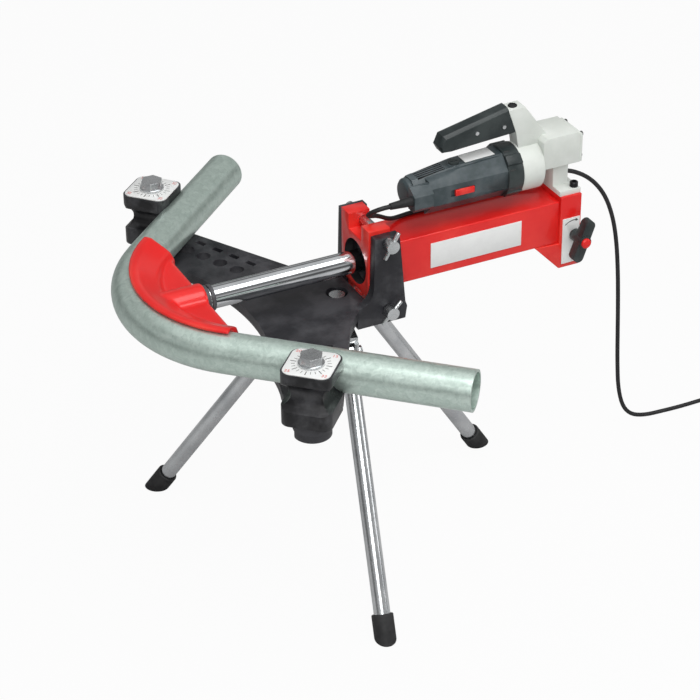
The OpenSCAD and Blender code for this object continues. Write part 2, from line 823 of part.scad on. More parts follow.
module release_knob() color(rubber_black) placed() on_valve(knob_stand)
    difference() {
        union() {
            cylinder(d = knob_hub_d, h = knob_hub_l);
            translate([0, 0, 13]) linear_extrude(16) rotate(-knob_lean) {
                square([knob_w, knob_l - knob_w], center = true);
                for (s = [-1, 1]) translate([0, s * (knob_l - knob_w) / 2]) circle(d = knob_w);
            }
        }
        translate([0, 0, -1]) cylinder(d = spindle_d + 2 * run_gap, h = knob_hub_l - 7);
    }

module knob_cap() color(signal_red) placed() on_valve(knob_stand + knob_hub_l)
    rotate_extrude() polygon([[0, 0], [8, 0], [8, 2.5], [6.5, 4], [0, 4.6]]);

// The pump

module pump_base() color(pump_grey) placed() difference() {
    union() {
        translate([base_x, base_front, base_z]) cube([base_l, base_back - base_front, base_t]);
        translate([pillar_x - pillar_w / 2, -pillar_w / 2, base_z]) cube([pillar_w, pillar_w, box_z - base_z]);
    }
    translate([pillar_x, 0, base_z - 1]) cylinder(d = plunger_d + 2 * run_gap, h = box_z - base_z + 2);
    for (p = base_bolts()) translate([p[0], p[1], base_z - 1]) cylinder(d = 8.4, h = base_t + 2);
}

function base_bolts() = [[base_x + 29, base_front + 9], [base_x + 8, base_back - 7]];

module pump_screws() color(rubber_black) placed() {
    for (p = base_bolts()) translate([p[0], p[1], base_z]) {
        cylinder(d = 8, h = base_t + eps);
        translate([0, 0, base_t]) cylinder(d = 13, h = 8);
    }
    for (p = cover_bolts()) rod_x(box_end + cover_t, box_end + cover_t + 3, 4, p[1], p[0]);
}

function cover_bolts() = [for (y = [-1, 1], z = [0, 1])
    [y * (box_w / 2 - 8), box_z + 8 + z * (box_h - 16)]];

module pump_housing() color(pump_grey) placed() difference() {
    slab_y(-box_w / 2, box_w / 2) polygon([[box_x, box_z], [box_end, box_z], [box_end, box_z + box_h - 4],
        [box_end - 4, box_z + box_h], [box_x + 6, box_z + box_h], [box_x, box_z + box_h - 6]]);
    translate([box_x + box_wall, -box_w / 2 + box_wall, box_z + box_wall])
        cube([box_l, box_w - 2 * box_wall, box_h - 2 * box_wall]);
    translate([pillar_x, 0, box_z - 1]) cylinder(d = plunger_d + 2 * run_gap, h = box_wall + 2);
    rod_x(box_x - 1, box_x + box_wall + 1, crank_r + run_gap, eccentric_z);
}

module pump_end_cover() color(pump_grey) placed() difference() {
    translate([box_end, -box_w / 2, box_z]) cube([cover_t, box_w, box_h - 4]);
    rod_x(box_end - 1, box_end + cover_t - 2, crank_r + run_gap, eccentric_z);
}

module gear_housing() color(pump_grey) placed() difference() {
    rod_x(gear_x, box_x, gear_d / 2, motor_z);
    rod_x(gear_x + 6, box_x - 5, gear_d / 2 - 5, motor_z);
    rod_x(gear_x - 1, gear_x + 7, shaft_r + 1, motor_z);
    rod_x(box_x - 6, box_x + 1, crank_r + run_gap, eccentric_z);
}

module handle_bracket() color(pump_grey) placed() difference() {
    slab_y(-grip_w / 2 + 1, grip_w / 2 - 1) polygon([[post_x - 12, ram_h + 197], [post_x + 16, ram_h + 198],
        [box_x + 14, box_z + box_h], [box_x + 6, box_z + box_h], [box_x, box_z + box_h - 6],
        [box_x, motor_z + gear_d / 2 - 2], [gear_x + 3, motor_z + gear_d / 2 - 2],
        [post_x + 2, ram_h + grip_rise]]);
    rod_x(gear_x - 1, box_x + 1, gear_d / 2, motor_z);
}

module grip_outline(inset) {
    polygon([[grip_x + inset, ram_h + grip_rise + 5], [grip_x + 7 + inset, ram_h + grip_rise + 21 - inset],
        [post_x - 12, ram_h + grip_rise + 45 - inset], [post_x + 2, ram_h + grip_rise + inset],
        [grip_x + 22, ram_h + grip_rise - 7 + inset], [grip_x + 6, ram_h + grip_rise - 6 + inset]]);
}

module grip() color(rubber_black) placed() difference() {
    hull() {
        slab_y(-grip_w / 2, grip_w / 2) grip_outline(4);
        slab_y(-grip_w / 2 + 5, grip_w / 2 - 5) grip_outline(0);
    }
    slab_y(-grip_w, grip_w) polygon([[post_x - 13, ram_h + 210], [post_x + 30, ram_h + 210],
        [post_x + 30, ram_h + grip_rise - 20], [post_x + 3, ram_h + grip_rise - 20],
        [post_x + 1.5, ram_h + grip_rise], [post_x - 12.5, ram_h + 197]]);
}

module grip_screws() color(steel) placed() for (x = [post_x - 66, post_x - 20])
    rod_y(-grip_w / 2 - 1.5, -grip_w / 2, 3, x, ram_h + grip_rise + 16);

// The motor

// An octagonal length of housing along X, from width w0 to width w1
module octagon_x(x0, x1, w0, w1) {
    translate([x0, 0, motor_z]) rotate([0, 90, 0]) rotate(22.5)
        cylinder(d1 = w0 / cos(22.5), d2 = w1 / cos(22.5), h = x1 - x0, $fn = 8);
}

// The raised switch panel on the near side: it keeps its width where the housing tapers
module switch_panel() {
    intersection() {
        octagon_x(panel_x, flange_x, motor_w, motor_w);
        slab_y(-motor_w, -12) polygon([[panel_x, motor_z - motor_w / 2], [flange_x, motor_z - motor_w / 2],
            [flange_x, motor_z + motor_w / 2 - 2], [motor_x, motor_z + motor_mid_w / 2 - 2],
            [panel_x, motor_z + motor_end_w / 2 + 1]]);
    }
}

// The housing of the cord's outlet, in front of the end cap
module cord_outlet() {
    outline = [[outlet_front, motor_z - 8], [outlet_front, motor_z + 12], [-27, motor_z + 22],
        [-cap_r - pass_gap, motor_z + 22], [-cap_r - pass_gap, motor_z - 14], [outlet_front + 5, motor_z - 14]];
    translate([outlet_x, 0, 0]) rotate([90, 0, 90]) linear_extrude(outlet_end - outlet_x) polygon(outline);
}

module motor_housing() color(motor_grey) placed() difference() {
    union() {
        octagon_x(motor_x, flange_x, motor_mid_w, motor_w);
        octagon_x(motor_end_x, motor_x + eps, motor_end_w, motor_mid_w);
        switch_panel();
        cord_outlet();
        at_brush() translate([0, 0, -8]) cylinder(d = brush_d + 3, h = 8);
    }
    rod_x(motor_x, flange_x + 1, motor_bore_r, motor_z);
    rod_x(motor_end_x - 1, motor_x + 1, end_bore_r, motor_z);
    translate([switch_x - switch_travel - 1, -motor_w / 2 - 1, motor_z - switch_w / 2 - 0.6])
        cube([switch_l + switch_travel + 2, 4, switch_w + 1.2]);
    for (k = [0 : louvre_count - 1])
        translate([motor_end_x + 10, (k - (louvre_count - 1) / 2) * 5.2 - 1.2, motor_z + 8])
            cube([46, 2.4, motor_w]);
}

module motor_end_cap() color(motor_grey) placed() translate([motor_end_x, 0, motor_z]) rotate([0, -90, 0])
    difference() {
        rotate_extrude() polygon([[0, 0], [cap_r, 0], [cap_r, cap_l - 4], [cap_r - 4, cap_l], [0, cap_l]]);
        translate([0, 0, -1]) cylinder(r = bearing_r + run_gap, h = bearing_t + 1);
    }

module motor_flange() color(rubber_black) placed() difference() {
    union() {
        rod_x(flange_x, gear_x, flange_d / 2, motor_z);
        for (a = [45 : 90 : 315]) translate([flange_x + flange_l / 2, 0, motor_z]) rotate([a, 0, 0])
            translate([0, 0, flange_d / 2 - 2]) cube([flange_l, 16, 7], center = true);
    }
    rod_x(flange_x - 1, gear_x - 10, motor_bore_r, motor_z);
    rod_x(gear_x - 12, gear_x - 10 + bearing_t, bearing_r + run_gap, motor_z);
    rod_x(gear_x - 12, gear_x + 1, shaft_r + 1, motor_z);
}

module stator() color(steel) placed() difference() {
    rod_x(core_x, core_x + core_l + 2, motor_bore_r - run_gap, motor_z);
    rod_x(core_x - 1, core_x + core_l + 3, motor_bore_r - 7, motor_z);
}

module at_brush() {
    for (a = [0, 180]) translate([brush_x, 0, motor_z]) rotate([a, 0, 0]) translate([0, -5, brush_seat]) children();
}

module brush_caps() color(rubber_black) placed() at_brush() difference() {
    cylinder(d = brush_d, h = 3);
    translate([0, 0, 3]) cube([12, 2, 2.4], center = true);
}

module motor_plate() color(zinc) placed() translate([motor_x, 0, motor_z + motor_mid_w / 2])
    rotate([0, -atan2((motor_w - motor_mid_w) / 2, motor_l), 0]) translate([14, -12, 0]) cube([50, 24, 0.8]);

module motor_bearings() color(steel) placed() for (x = [motor_end_x - bearing_t, gear_x - 10]) difference() {
    rod_x(x, x + bearing_t, bearing_r, motor_z);
    rod_x(x - 1, x + bearing_t + 1, shaft_r, motor_z);
}

module switch_button() color(signal_red) placed()
    translate([switch_x, -motor_w / 2 - 2, motor_z - switch_w / 2])
        cube([switch_l, switch_h, switch_w]);

module armature() color(copper) placed() {
    rod_x(motor_end_x - 6, gear_x + 8, shaft_r - pass_gap, motor_z);
    rod_x(core_x + 1, core_x + core_l, motor_bore_r - 8, motor_z);
    rod_x(motor_x - 30, motor_x - 8, 12, motor_z);
    rod_x(gear_x + 7, gear_x + 6 + gear_t, pinion_r, motor_z);
}

module cooling_fan() color(label_white) placed() difference() {
    union() {
        rod_x(fan_x, fan_x + 3, motor_bore_r - 2, motor_z);
        rod_x(fan_x, fan_x + 14, 10, motor_z);
        for (a = [0 : 36 : 359]) translate([fan_x + 7, 0, motor_z]) rotate([a, 0, 0])
            translate([0, 0, 17]) cube([14, 1.6, 16], center = true);
    }
    rod_x(fan_x - 1, fan_x + 15, shaft_r - pass_gap + run_gap, motor_z);
}

module eccentric_shaft() color(steel) placed() {
    rod_x(gear_x + 7, box_end + cover_t - 2.5, crank_r, eccentric_z);
    translate([pillar_x - 6, 0, eccentric_z + throw]) rotate([0, 90, 0]) cylinder(r = eccentric_r, h = 12);
}

module drive_gear() color(steel) placed() difference() {
    rod_x(gear_x + 6 + 0.5, gear_x + 6 + gear_t, wheel_r, eccentric_z);
    rod_x(gear_x, gear_x + 20, crank_r + run_gap, eccentric_z);
}

module pump_plunger() color(steel) placed() {
    top = eccentric_z - eccentric_r - throw - 0.4;
    translate([pillar_x, 0, base_z + base_t + 4]) cylinder(d = plunger_d, h = top - base_z - base_t - 4);
}

// The lead: a tube along its points, a coil in layers and a plug

function unit(v) = v / norm(v);
function ring_at(p, t, r, n) =
    let (side = unit(cross(t, abs(t[2]) > 0.9 ? [0, 1, 0] : [0, 0, 1])), up = cross(side, t))
    [for (k = [0 : n - 1]) p + r * (cos(360 * k / n) * side + sin(360 * k / n) * up)];
function tangent(path, i) = unit(path[min(i + 1, len(path) - 1)] - path[max(i - 1, 0)]);

// A tube along a path, with its ends closed
module tube(path, r, n) {
    count = len(path);
    points = [for (i = [0 : count - 1]) each ring_at(path[i], tangent(path, i), r, n)];
    sides = [for (i = [0 : count - 2], k = [0 : n - 1])
        let (a = i * n + k, b = i * n + (k + 1) % n) each [[a, b, b + n], [a, b + n, a + n]]];
    last = (count - 1) * n;
    ends = [for (k = [1 : n - 2]) each [[0, k + 1, k], [last, last + k, last + k + 1]]];
    polyhedron(points, concat(sides, ends));
}

// A smooth curve through the points: two extra points in each gap
function spline(p0, p1, p2, p3, t) = 0.5 * (2 * p1 + (p2 - p0) * t + (2 * p0 - 5 * p1 + 4 * p2 - p3) * t * t
    + (3 * p1 - p0 - 3 * p2 + p3) * t * t * t);
function smooth(path) = let (last = len(path) - 1) concat([for (i = [0 : last - 1], t = [0, 0.5])
    spline(path[max(i - 1, 0)], path[i], path[i + 1], path[min(i + 2, last)], t)], [path[last]]);

cord_path = [for (p = smooth(cord_points)) p + [0, 0, ram_h]];

module cord_boot() color(rubber_black) placed() translate([outlet_x, outlet_y, outlet_z]) rotate([0, -90, 0])
    cylinder(r1 = boot_r, r2 = boot_tip_r, h = boot_l);

module cord_run() color(rubber_black) placed() tube(cord_path, cord_r, cord_sides);

// The coil winds inwards on the floor, climbs in a half turn and winds outwards on top
coil_out = coil_r + (coil_turns - 0.5) * coil_step;
coil_in_turns = coil_turns * 360;
function coil_radius(a) = a < coil_in_turns ? coil_out - coil_step * a / 360 :
    a < coil_in_turns + 180 ? coil_out - coil_step * coil_turns :
    coil_out - coil_step * coil_turns + coil_step * (a - coil_in_turns - 180) / 360;
function coil_height(a) = cord_r + 0.2 + coil_step * min(1, max(0, (a - coil_in_turns) / 180));
function coil_point(a) = [coil_centre[0] + coil_radius(a) * sin(a), coil_centre[1] + coil_radius(a) * cos(a),
    coil_height(a)];
coil_lead = cord_points[len(cord_points) - 1] + [0, 0, ram_h];
coil_end = 2 * coil_in_turns + 180;
coil_tail = [-60 * cos(coil_end + 180), 60 * sin(coil_end + 180), 0];
coil_path = concat([coil_lead, coil_lead + [cord_d, 0, 0]],
    [for (a = [0 : 360 / coil_rings : coil_end]) coil_point(a)], [coil_point(coil_end) + coil_tail]);

// The least gap between turns, measured on points half a turn or more apart
coil_gap = min([for (i = [0 : len(coil_path) - 1], j = [i + coil_rings / 2 : len(coil_path) - 1])
    norm(coil_path[i] - coil_path[j])]) - cord_d;
echo("Least gap of the coil to itself, mm:", coil_gap);

module cord_coil() color(rubber_black) placed() tube(coil_path, cord_r, 6);

plug_start = coil_path[len(coil_path) - 1];
plug_dir = tangent(coil_path, len(coil_path) - 1);

module power_plug() color(rubber_black) placed() translate(plug_start)
    rotate([0, 90, atan2(plug_dir[1], plug_dir[0])]) {
    cylinder(r1 = cord_r + 1, r2 = plug_h / 2 - 2, h = 18);
    translate([0, 0, 18]) linear_extrude(24) {
        square([plug_h, plug_w - plug_h], center = true);
        for (s = [-1, 1]) translate([0, s * (plug_w - plug_h) / 2]) circle(d = plug_h);
    }
    for (s = [-1, 1]) translate([0, s * 9.5, 42 - eps]) cylinder(d = 4.8, h = 19);
}

bending_frame();
tripod_hub();
hub_bolts();
cylinder_head();
cylinder_body();
gland_bush();
valve_block();
valve_plate();
name_plate();
pump_base();
pump_screws();
pump_housing();
pump_end_cover();
gear_housing();
handle_bracket();
grip();
grip_screws();
motor_flange();
motor_housing();
motor_end_cap();
stator();
brush_caps();
motor_plate();
motor_bearings();
cord_boot();
cord_run();
cord_coil();
power_plug();
roller_pins();
ram_rod();
piston();
piston_seal();
nose_collar();
former();
pipe();
front_roller();
front_scale_plate();
back_roller();
back_scale_plate();
upper_lock_pin();
upper_tommy_bar();
lower_lock_pin();
lower_tommy_bar();
leg_back();
foot_back();
leg_left();
foot_left();
leg_front();
foot_front();
release_spindle();
release_knob();
knob_cap();
switch_button();
armature();
cooling_fan();
eccentric_shaft();
drive_gear();
pump_plunger();
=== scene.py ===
import json
import math

import bmesh
import bpy
from mathutils import Matrix, Vector


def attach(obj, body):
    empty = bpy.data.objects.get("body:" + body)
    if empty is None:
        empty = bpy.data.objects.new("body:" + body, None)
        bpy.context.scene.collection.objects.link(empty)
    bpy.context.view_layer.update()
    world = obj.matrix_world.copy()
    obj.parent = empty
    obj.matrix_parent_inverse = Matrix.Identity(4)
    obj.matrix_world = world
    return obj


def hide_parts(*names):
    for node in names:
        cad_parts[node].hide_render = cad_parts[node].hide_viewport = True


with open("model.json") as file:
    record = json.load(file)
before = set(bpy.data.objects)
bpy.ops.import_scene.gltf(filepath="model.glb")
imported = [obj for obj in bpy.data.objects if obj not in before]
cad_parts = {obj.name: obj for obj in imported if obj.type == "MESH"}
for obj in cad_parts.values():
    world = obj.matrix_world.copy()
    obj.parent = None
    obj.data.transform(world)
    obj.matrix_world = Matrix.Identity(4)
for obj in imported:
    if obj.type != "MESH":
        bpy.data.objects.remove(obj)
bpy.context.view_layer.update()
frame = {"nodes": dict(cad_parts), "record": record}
scene = bpy.context.scene
nodes = frame["nodes"]
nodeBody = {n: b for b, members in frame["record"]["behaviour"]["bodies"].items() for n in members}
jointPlace = {j["name"]: Vector(j["pos_m"]) for j in frame["record"]["behaviour"]["joints"] if "pos_m" in j}
# the hub is the tripod axis at the height of the ram, and the rollers' pins stand ahead of it
rollerForward = 0.177
hub = (jointPlace["front_roller_turn"] + jointPlace["back_roller_turn"]) / 2 + Vector((rollerForward, 0, 0))
print("frame loaded:", len(nodes), "nodes")


# small helpers for making pieces
def addObject(name, data):
    obj = bpy.data.objects.new(name, data)
    scene.collection.objects.link(obj)
    return obj


def objectFrom(name, shape):
    mesh = bpy.data.meshes.new(name)
    shape.to_mesh(mesh)
    shape.free()
    return addObject(name, mesh)


def finalMesh(obj):
    graph = bpy.context.evaluated_depsgraph_get()
    return bpy.data.meshes.new_from_object(obj.evaluated_get(graph), depsgraph=graph)


def applied(obj):
    mesh = finalMesh(obj)
    obj.modifiers.clear()
    obj.data = mesh
    return obj


def dress(obj, material):
    obj.data.materials.clear()
    obj.data.materials.append(material)


def smoothed(obj, angle):
    obj.data.shade_smooth()
    obj.data.set_sharp_from_angle(angle=math.radians(angle))


# a place counted from the hub in millimetres
def spot(x, y, z):
    return hub + Vector((x, y, z)) / 1000


def boxAround(points):
    return [Vector([pick(p[k] for p in points) for k in range(3)]) for pick in (min, max)]


def boxOf(name):
    return boxAround([v.co for v in nodes[name].data.vertices])


# camera, at the photograph's angle
cameraLook = {"place": (-1.346045, -2.712869, 2.1996), "yaw": 26.15, "pitch": 31.83, "roll": -0.5,
              "sensor": 36, "lens": 120.86, "shift": (-0.00513, -0.00107), "clip": (0.05, 60)}


def addCamera(look):
    data = bpy.data.cameras.new("photoCamera")
    data.sensor_width = look["sensor"]
    data.lens = look["lens"]
    data.shift_x, data.shift_y = look["shift"]
    data.clip_start, data.clip_end = look["clip"]
    cam = addObject("photoCamera", data)
    yaw, pitch, roll = (math.radians(look[k]) for k in ("yaw", "pitch", "roll"))
    ahead = Vector((math.sin(yaw) * math.cos(pitch), math.cos(yaw) * math.cos(pitch), -math.sin(pitch)))
    side = Vector((math.cos(yaw), -math.sin(yaw), 0))
    above = side.cross(ahead)
    right = side * math.cos(roll) + above * math.sin(roll)
    up = above * math.cos(roll) - side * math.sin(roll)
    turn = Matrix((right, up, -ahead)).transposed().to_4x4()
    cam.matrix_world = Matrix.Translation(look["place"]) @ turn
    scene.camera = cam


addCamera(cameraLook)
print("camera set")


# helpers for node trees
socketKinds = {"float": "NodeSocketFloat", "int": "NodeSocketInt", "vector": "NodeSocketVector",
               "material": "NodeSocketMaterial", "object": "NodeSocketObject",
               "geometry": "NodeSocketGeometry"}


def newTree(name, kind, inputs, outputs):
    tree = bpy.data.node_groups.new(name, kind)
    for side, sockets in (("INPUT", inputs), ("OUTPUT", outputs)):
        for label, socket in sockets.items():
            tree.interface.new_socket(name=label, in_out=side, socket_type=socketKinds[socket])
    return tree, tree.nodes.new("NodeGroupInput"), tree.nodes.new("NodeGroupOutput")


def feed(tree, socket, value):
    if isinstance(value, bpy.types.NodeSocket):
        tree.links.new(value, socket)
    else:
        socket.default_value = value


def addNode(tree, kind, links=(), **settings):
    node = tree.nodes.new(kind)
    values = settings.pop("values", {})
    for key, value in settings.items():
        setattr(node, key, value)
    for key, value in values.items():
        node.inputs[key].default_value = value
    for key, source in links:
        tree.links.new(source, node.inputs[key])
    return node


def addMath(tree, operation, first, second=None, clamp=False):
    node = tree.nodes.new("ShaderNodeMath")
    node.operation, node.use_clamp = operation, clamp
    for slot, value in enumerate((first, second)):
        if value is not None:
            feed(tree, node.inputs[slot], value)
    return node.outputs[0]


def addRange(tree, value, low, high, outLow=0.0, outHigh=1.0):
    node = addNode(tree, "ShaderNodeMapRange", [("Value", value)],
                   values={"From Min": low, "From Max": high, "To Min": outLow, "To Max": outHigh})
    return node.outputs[0]


def addMix(tree, factor, first, second):
    node = tree.nodes.new("ShaderNodeMix")
    node.data_type = "RGBA"
    for key, value in (("Factor", factor), ("A", first), ("B", second)):
        kind = "VALUE" if key == "Factor" else "RGBA"
        socket = [s for s in node.inputs if s.name == key and s.type == kind][0]
        feed(tree, socket, value)
    return [s for s in node.outputs if s.type == "RGBA"][0]


def addNoise(tree, vector, scale, detail, rough):
    node = addNode(tree, "ShaderNodeTexNoise", [("Vector", vector)],
                   values={"Detail": detail, "Roughness": rough})
    feed(tree, node.inputs["Scale"], scale)
    return node


# shader groups shared by the finishes
scratchRuns = {"runs": ((0.3, 26.0), (1.4, 30.0), (2.5, 22.0)), "tilt": (0.7, 1.0, 1.3), "span": (0.68, 0.74)}
grainCloud = 22.0
spangleLook = {"warpScale": 55.0, "warp": 0.016, "fineSize": 320.0, "share": 0.5, "veinScale": 34.0}


def makeCastGroup():
    tree, inp, out = newTree("castSurface", "ShaderNodeTree",
                             {"Vector": "vector", "Pebble": "float", "Cloud": "float"},
                             {"Tone": "float", "Height": "float"})
    cloud = addNoise(tree, inp.outputs["Vector"], inp.outputs["Cloud"], detail=5.0, rough=0.6)
    pebble = addNoise(tree, inp.outputs["Vector"], inp.outputs["Pebble"], detail=3.0, rough=0.55)
    tree.links.new(cloud.outputs["Fac"], out.inputs["Tone"])
    tree.links.new(pebble.outputs["Fac"], out.inputs["Height"])
    return tree


def makeScratchGroup():
    tree, inp, out = newTree("fineScratches", "ShaderNodeTree",
                             {"Vector": "vector", "Scale": "float", "Amount": "float"}, {"Mask": "float"})
    masks = []
    for turn, stretch in scratchRuns["runs"]:
        mapped = addNode(tree, "ShaderNodeMapping", [("Vector", inp.outputs["Vector"])],
                         values={"Rotation": [turn * part for part in scratchRuns["tilt"]],
                                 "Scale": (1.0, stretch, stretch)})
        noise = addNoise(tree, mapped.outputs[0], inp.outputs["Scale"], detail=2.0, rough=0.5)
        masks.append(addRange(tree, noise.outputs["Fac"], *scratchRuns["span"]))
    most = addMath(tree, "MAXIMUM", masks[0], addMath(tree, "MAXIMUM", masks[1], masks[2]))
    tree.links.new(addMath(tree, "MULTIPLY", most, inp.outputs["Amount"], True), out.inputs["Mask"])
    return tree


def makeBrushGroup():
    tree, inp, out = newTree("brushedGrain", "ShaderNodeTree",
                             {"Vector": "vector", "Along": "vector", "Scale": "float"},
                             {"Grain": "float", "Cloud": "float"})
    stretched = addNode(tree, "ShaderNodeVectorMath", [(0, inp.outputs["Vector"]), (1, inp.outputs["Along"])],
                        operation="MULTIPLY")
    grain = addNoise(tree, stretched.outputs[0], inp.outputs["Scale"], detail=4.0, rough=0.7)
    cloud = addNoise(tree, inp.outputs["Vector"], grainCloud, detail=4.0, rough=0.5)
    tree.links.new(grain.outputs["Fac"], out.inputs["Grain"])
    tree.links.new(cloud.outputs["Fac"], out.inputs["Cloud"])
    return tree


def makeSpangleGroup():
    tree, inp, out = newTree("zincSpangle", "ShaderNodeTree", {"Vector": "vector", "Size": "float"},
                             {"Cell": "float", "Vein": "float"})
    warp = addNoise(tree, inp.outputs["Vector"], spangleLook["warpScale"], detail=3.0, rough=0.5)
    push = addNode(tree, "ShaderNodeVectorMath", [(0, warp.outputs["Color"])], operation="SCALE",
                   values={"Scale": spangleLook["warp"]})
    moved = addNode(tree, "ShaderNodeVectorMath", [(0, inp.outputs["Vector"]), (1, push.outputs[0])],
                    operation="ADD")
    cells = addNode(tree, "ShaderNodeTexVoronoi",
                    [("Vector", moved.outputs[0]), ("Scale", inp.outputs["Size"])])
    fine = addNode(tree, "ShaderNodeTexVoronoi", [("Vector", moved.outputs[0])],
                   values={"Scale": spangleLook["fineSize"]})
    shade = addNode(tree, "ShaderNodeSeparateColor", [("Color", cells.outputs["Color"])])
    small = addNode(tree, "ShaderNodeSeparateColor", [("Color", fine.outputs["Color"])])
    blend = addMath(tree, "ADD", addMath(tree, "MULTIPLY", shade.outputs[0], spangleLook["share"]),
                    addMath(tree, "MULTIPLY", small.outputs[1], 1 - spangleLook["share"]))
    tree.links.new(blend, out.inputs["Cell"])
    veins = addNoise(tree, inp.outputs["Vector"], spangleLook["veinScale"], detail=7.0, rough=0.68)
    tree.links.new(veins.outputs["Fac"], out.inputs["Vein"])
    return tree


castGroup = makeCastGroup()
scratchGroup = makeScratchGroup()
brushGroup = makeBrushGroup()
spangleGroup = makeSpangleGroup()


def startMaterial(name, settings):
    mat = bpy.data.materials.new(name)
    mat.use_nodes = True
    tree = mat.node_tree
    shader = tree.nodes["Principled BSDF"]
    for key, value in settings.items():
        shader.inputs[key].default_value = value
    place = tree.nodes.new("ShaderNodeTexCoord").outputs["Object"]
    return mat, tree, shader, place


def useGroup(tree, group, place, **values):
    node = tree.nodes.new("ShaderNodeGroup")
    node.node_tree = group
    tree.links.new(place, node.inputs["Vector"])
    for key, value in values.items():
        node.inputs[key].default_value = value
    return node


def addBump(tree, shader, height, strength, distance):
    bump = addNode(tree, "ShaderNodeBump", [("Height", height)],
                   values={"Strength": strength, "Distance": distance})
    tree.links.new(bump.outputs[0], shader.inputs["Normal"])


# a painted or moulded finish: cloudy tone, fine pebble, scratches, and convex edges mixed towards the bare
# colour, partly worn paint and partly painted highlight
paintBase = {"gloss": 0.4, "coat": 0.0, "coatRough": 0.08, "bare": (0.4, 0.4, 0.4), "wearAndHighlight": 0.3,
             "scratch": 0.3, "scratchScale": 60.0, "scratchShow": 0.35, "bump": 0.2, "bumpDepth": 0.0004,
             "toneSpan": (0.3, 0.7), "wearAndHighlightSpan": (0.42, 0.60), "roughSpan": (0.25, 0.75)}


def makePaint(name, own):
    look = {**paintBase, **own}
    settings = {"Metallic": 0.0, "Specular IOR Level": look["gloss"], "Coat Weight": look["coat"],
                "Coat Roughness": look["coatRough"]}
    mat, tree, shader, place = startMaterial(name, settings)
    cast = useGroup(tree, castGroup, place, Pebble=look["pebble"], Cloud=look["cloud"])
    scratch = useGroup(tree, scratchGroup, place, Scale=look["scratchScale"], Amount=look["scratch"])
    bare = (*look["bare"], 1)
    tone = addRange(tree, cast.outputs["Tone"], *look["toneSpan"])
    color = addMix(tree, tone, (*look["dark"], 1), (*look["light"], 1))
    # convex edges shift towards the bare colour: partly worn paint, partly painted highlight along the edges
    edge = addNode(tree, "ShaderNodeAttribute", attribute_name="edge").outputs["Fac"]
    wearAndHighlightMask = addMath(tree, "MULTIPLY", edge, addRange(tree, cast.outputs["Tone"], *look["wearAndHighlightSpan"]), True)
    wearAndHighlightMask = addMath(tree, "MULTIPLY", wearAndHighlightMask, look["wearAndHighlight"], True)
    color = addMix(tree, wearAndHighlightMask, color, bare)
    scratched = addMath(tree, "MULTIPLY", scratch.outputs["Mask"], look["scratchShow"])
    tree.links.new(addMix(tree, scratched, color, bare), shader.inputs["Base Color"])
    rough = addRange(tree, cast.outputs["Tone"], *look["roughSpan"], *look["rough"])
    tree.links.new(rough, shader.inputs["Roughness"])
    addBump(tree, shader, cast.outputs["Height"], look["bump"], look["bumpDepth"])
    return mat


# a bare metal finish: brushed or drawn grain, cloudy dullness and scratches
metalBase = {"along": (1, 1, 1), "streak": 0.25, "scratch": 0.4, "scratchScale": 50.0, "scratchDull": 0.15,
             "bump": 0.08, "bumpDepth": 0.0002, "cloudSpan": (0.3, 0.7), "grainSpan": (0.25, 0.75)}


def makeMetal(name, own):
    look = {**metalBase, **own}
    mat, tree, shader, place = startMaterial(name, {"Metallic": 1.0})
    brush = useGroup(tree, brushGroup, place, Along=look["along"], Scale=look["grain"])
    scratch = useGroup(tree, scratchGroup, place, Scale=look["scratchScale"], Amount=look["scratch"])
    dark, light = (*look["dark"], 1), (*look["light"], 1)
    color = addMix(tree, addRange(tree, brush.outputs["Cloud"], *look["cloudSpan"]), dark, light)
    streak = addMath(tree, "MULTIPLY", brush.outputs["Grain"], look["streak"])
    tree.links.new(addMix(tree, streak, color, dark), shader.inputs["Base Color"])
    rough = addRange(tree, brush.outputs["Grain"], *look["grainSpan"], *look["rough"])
    dull = addMath(tree, "MULTIPLY", scratch.outputs["Mask"], look["scratchDull"])
    tree.links.new(addMath(tree, "ADD", rough, dull, True), shader.inputs["Roughness"])
    addBump(tree, shader, brush.outputs["Grain"], look["bump"], look["bumpDepth"])
    return mat


# hot-dip zinc with its crystal pattern
def makeGalvanised(name, look):
    mat, tree, shader, place = startMaterial(name, {"Metallic": look["metal"]})
    spangle = useGroup(tree, spangleGroup, place, Size=look["size"])
    scratch = useGroup(tree, scratchGroup, place, Scale=look["scratchScale"], Amount=look["scratch"])
    dark, light = (*look["dark"], 1), (*look["light"], 1)
    color = addMix(tree, addRange(tree, spangle.outputs["Cell"], *look["cellSpan"]), dark, light)
    stain = addRange(tree, spangle.outputs["Vein"], *look["stainSpan"], 0.0, look["stain"])
    color = addMix(tree, stain, color, (*look["stainColor"], 1))
    scratched = addMath(tree, "MULTIPLY", scratch.outputs["Mask"], look["scratchShow"])
    tree.links.new(addMix(tree, scratched, color, light), shader.inputs["Base Color"])
    rough = addRange(tree, spangle.outputs["Cell"], 0.0, 1.0, *look["rough"])
    tree.links.new(rough, shader.inputs["Roughness"])
    addBump(tree, shader, spangle.outputs["Vein"], look["bump"], look["bumpDepth"])
    return mat


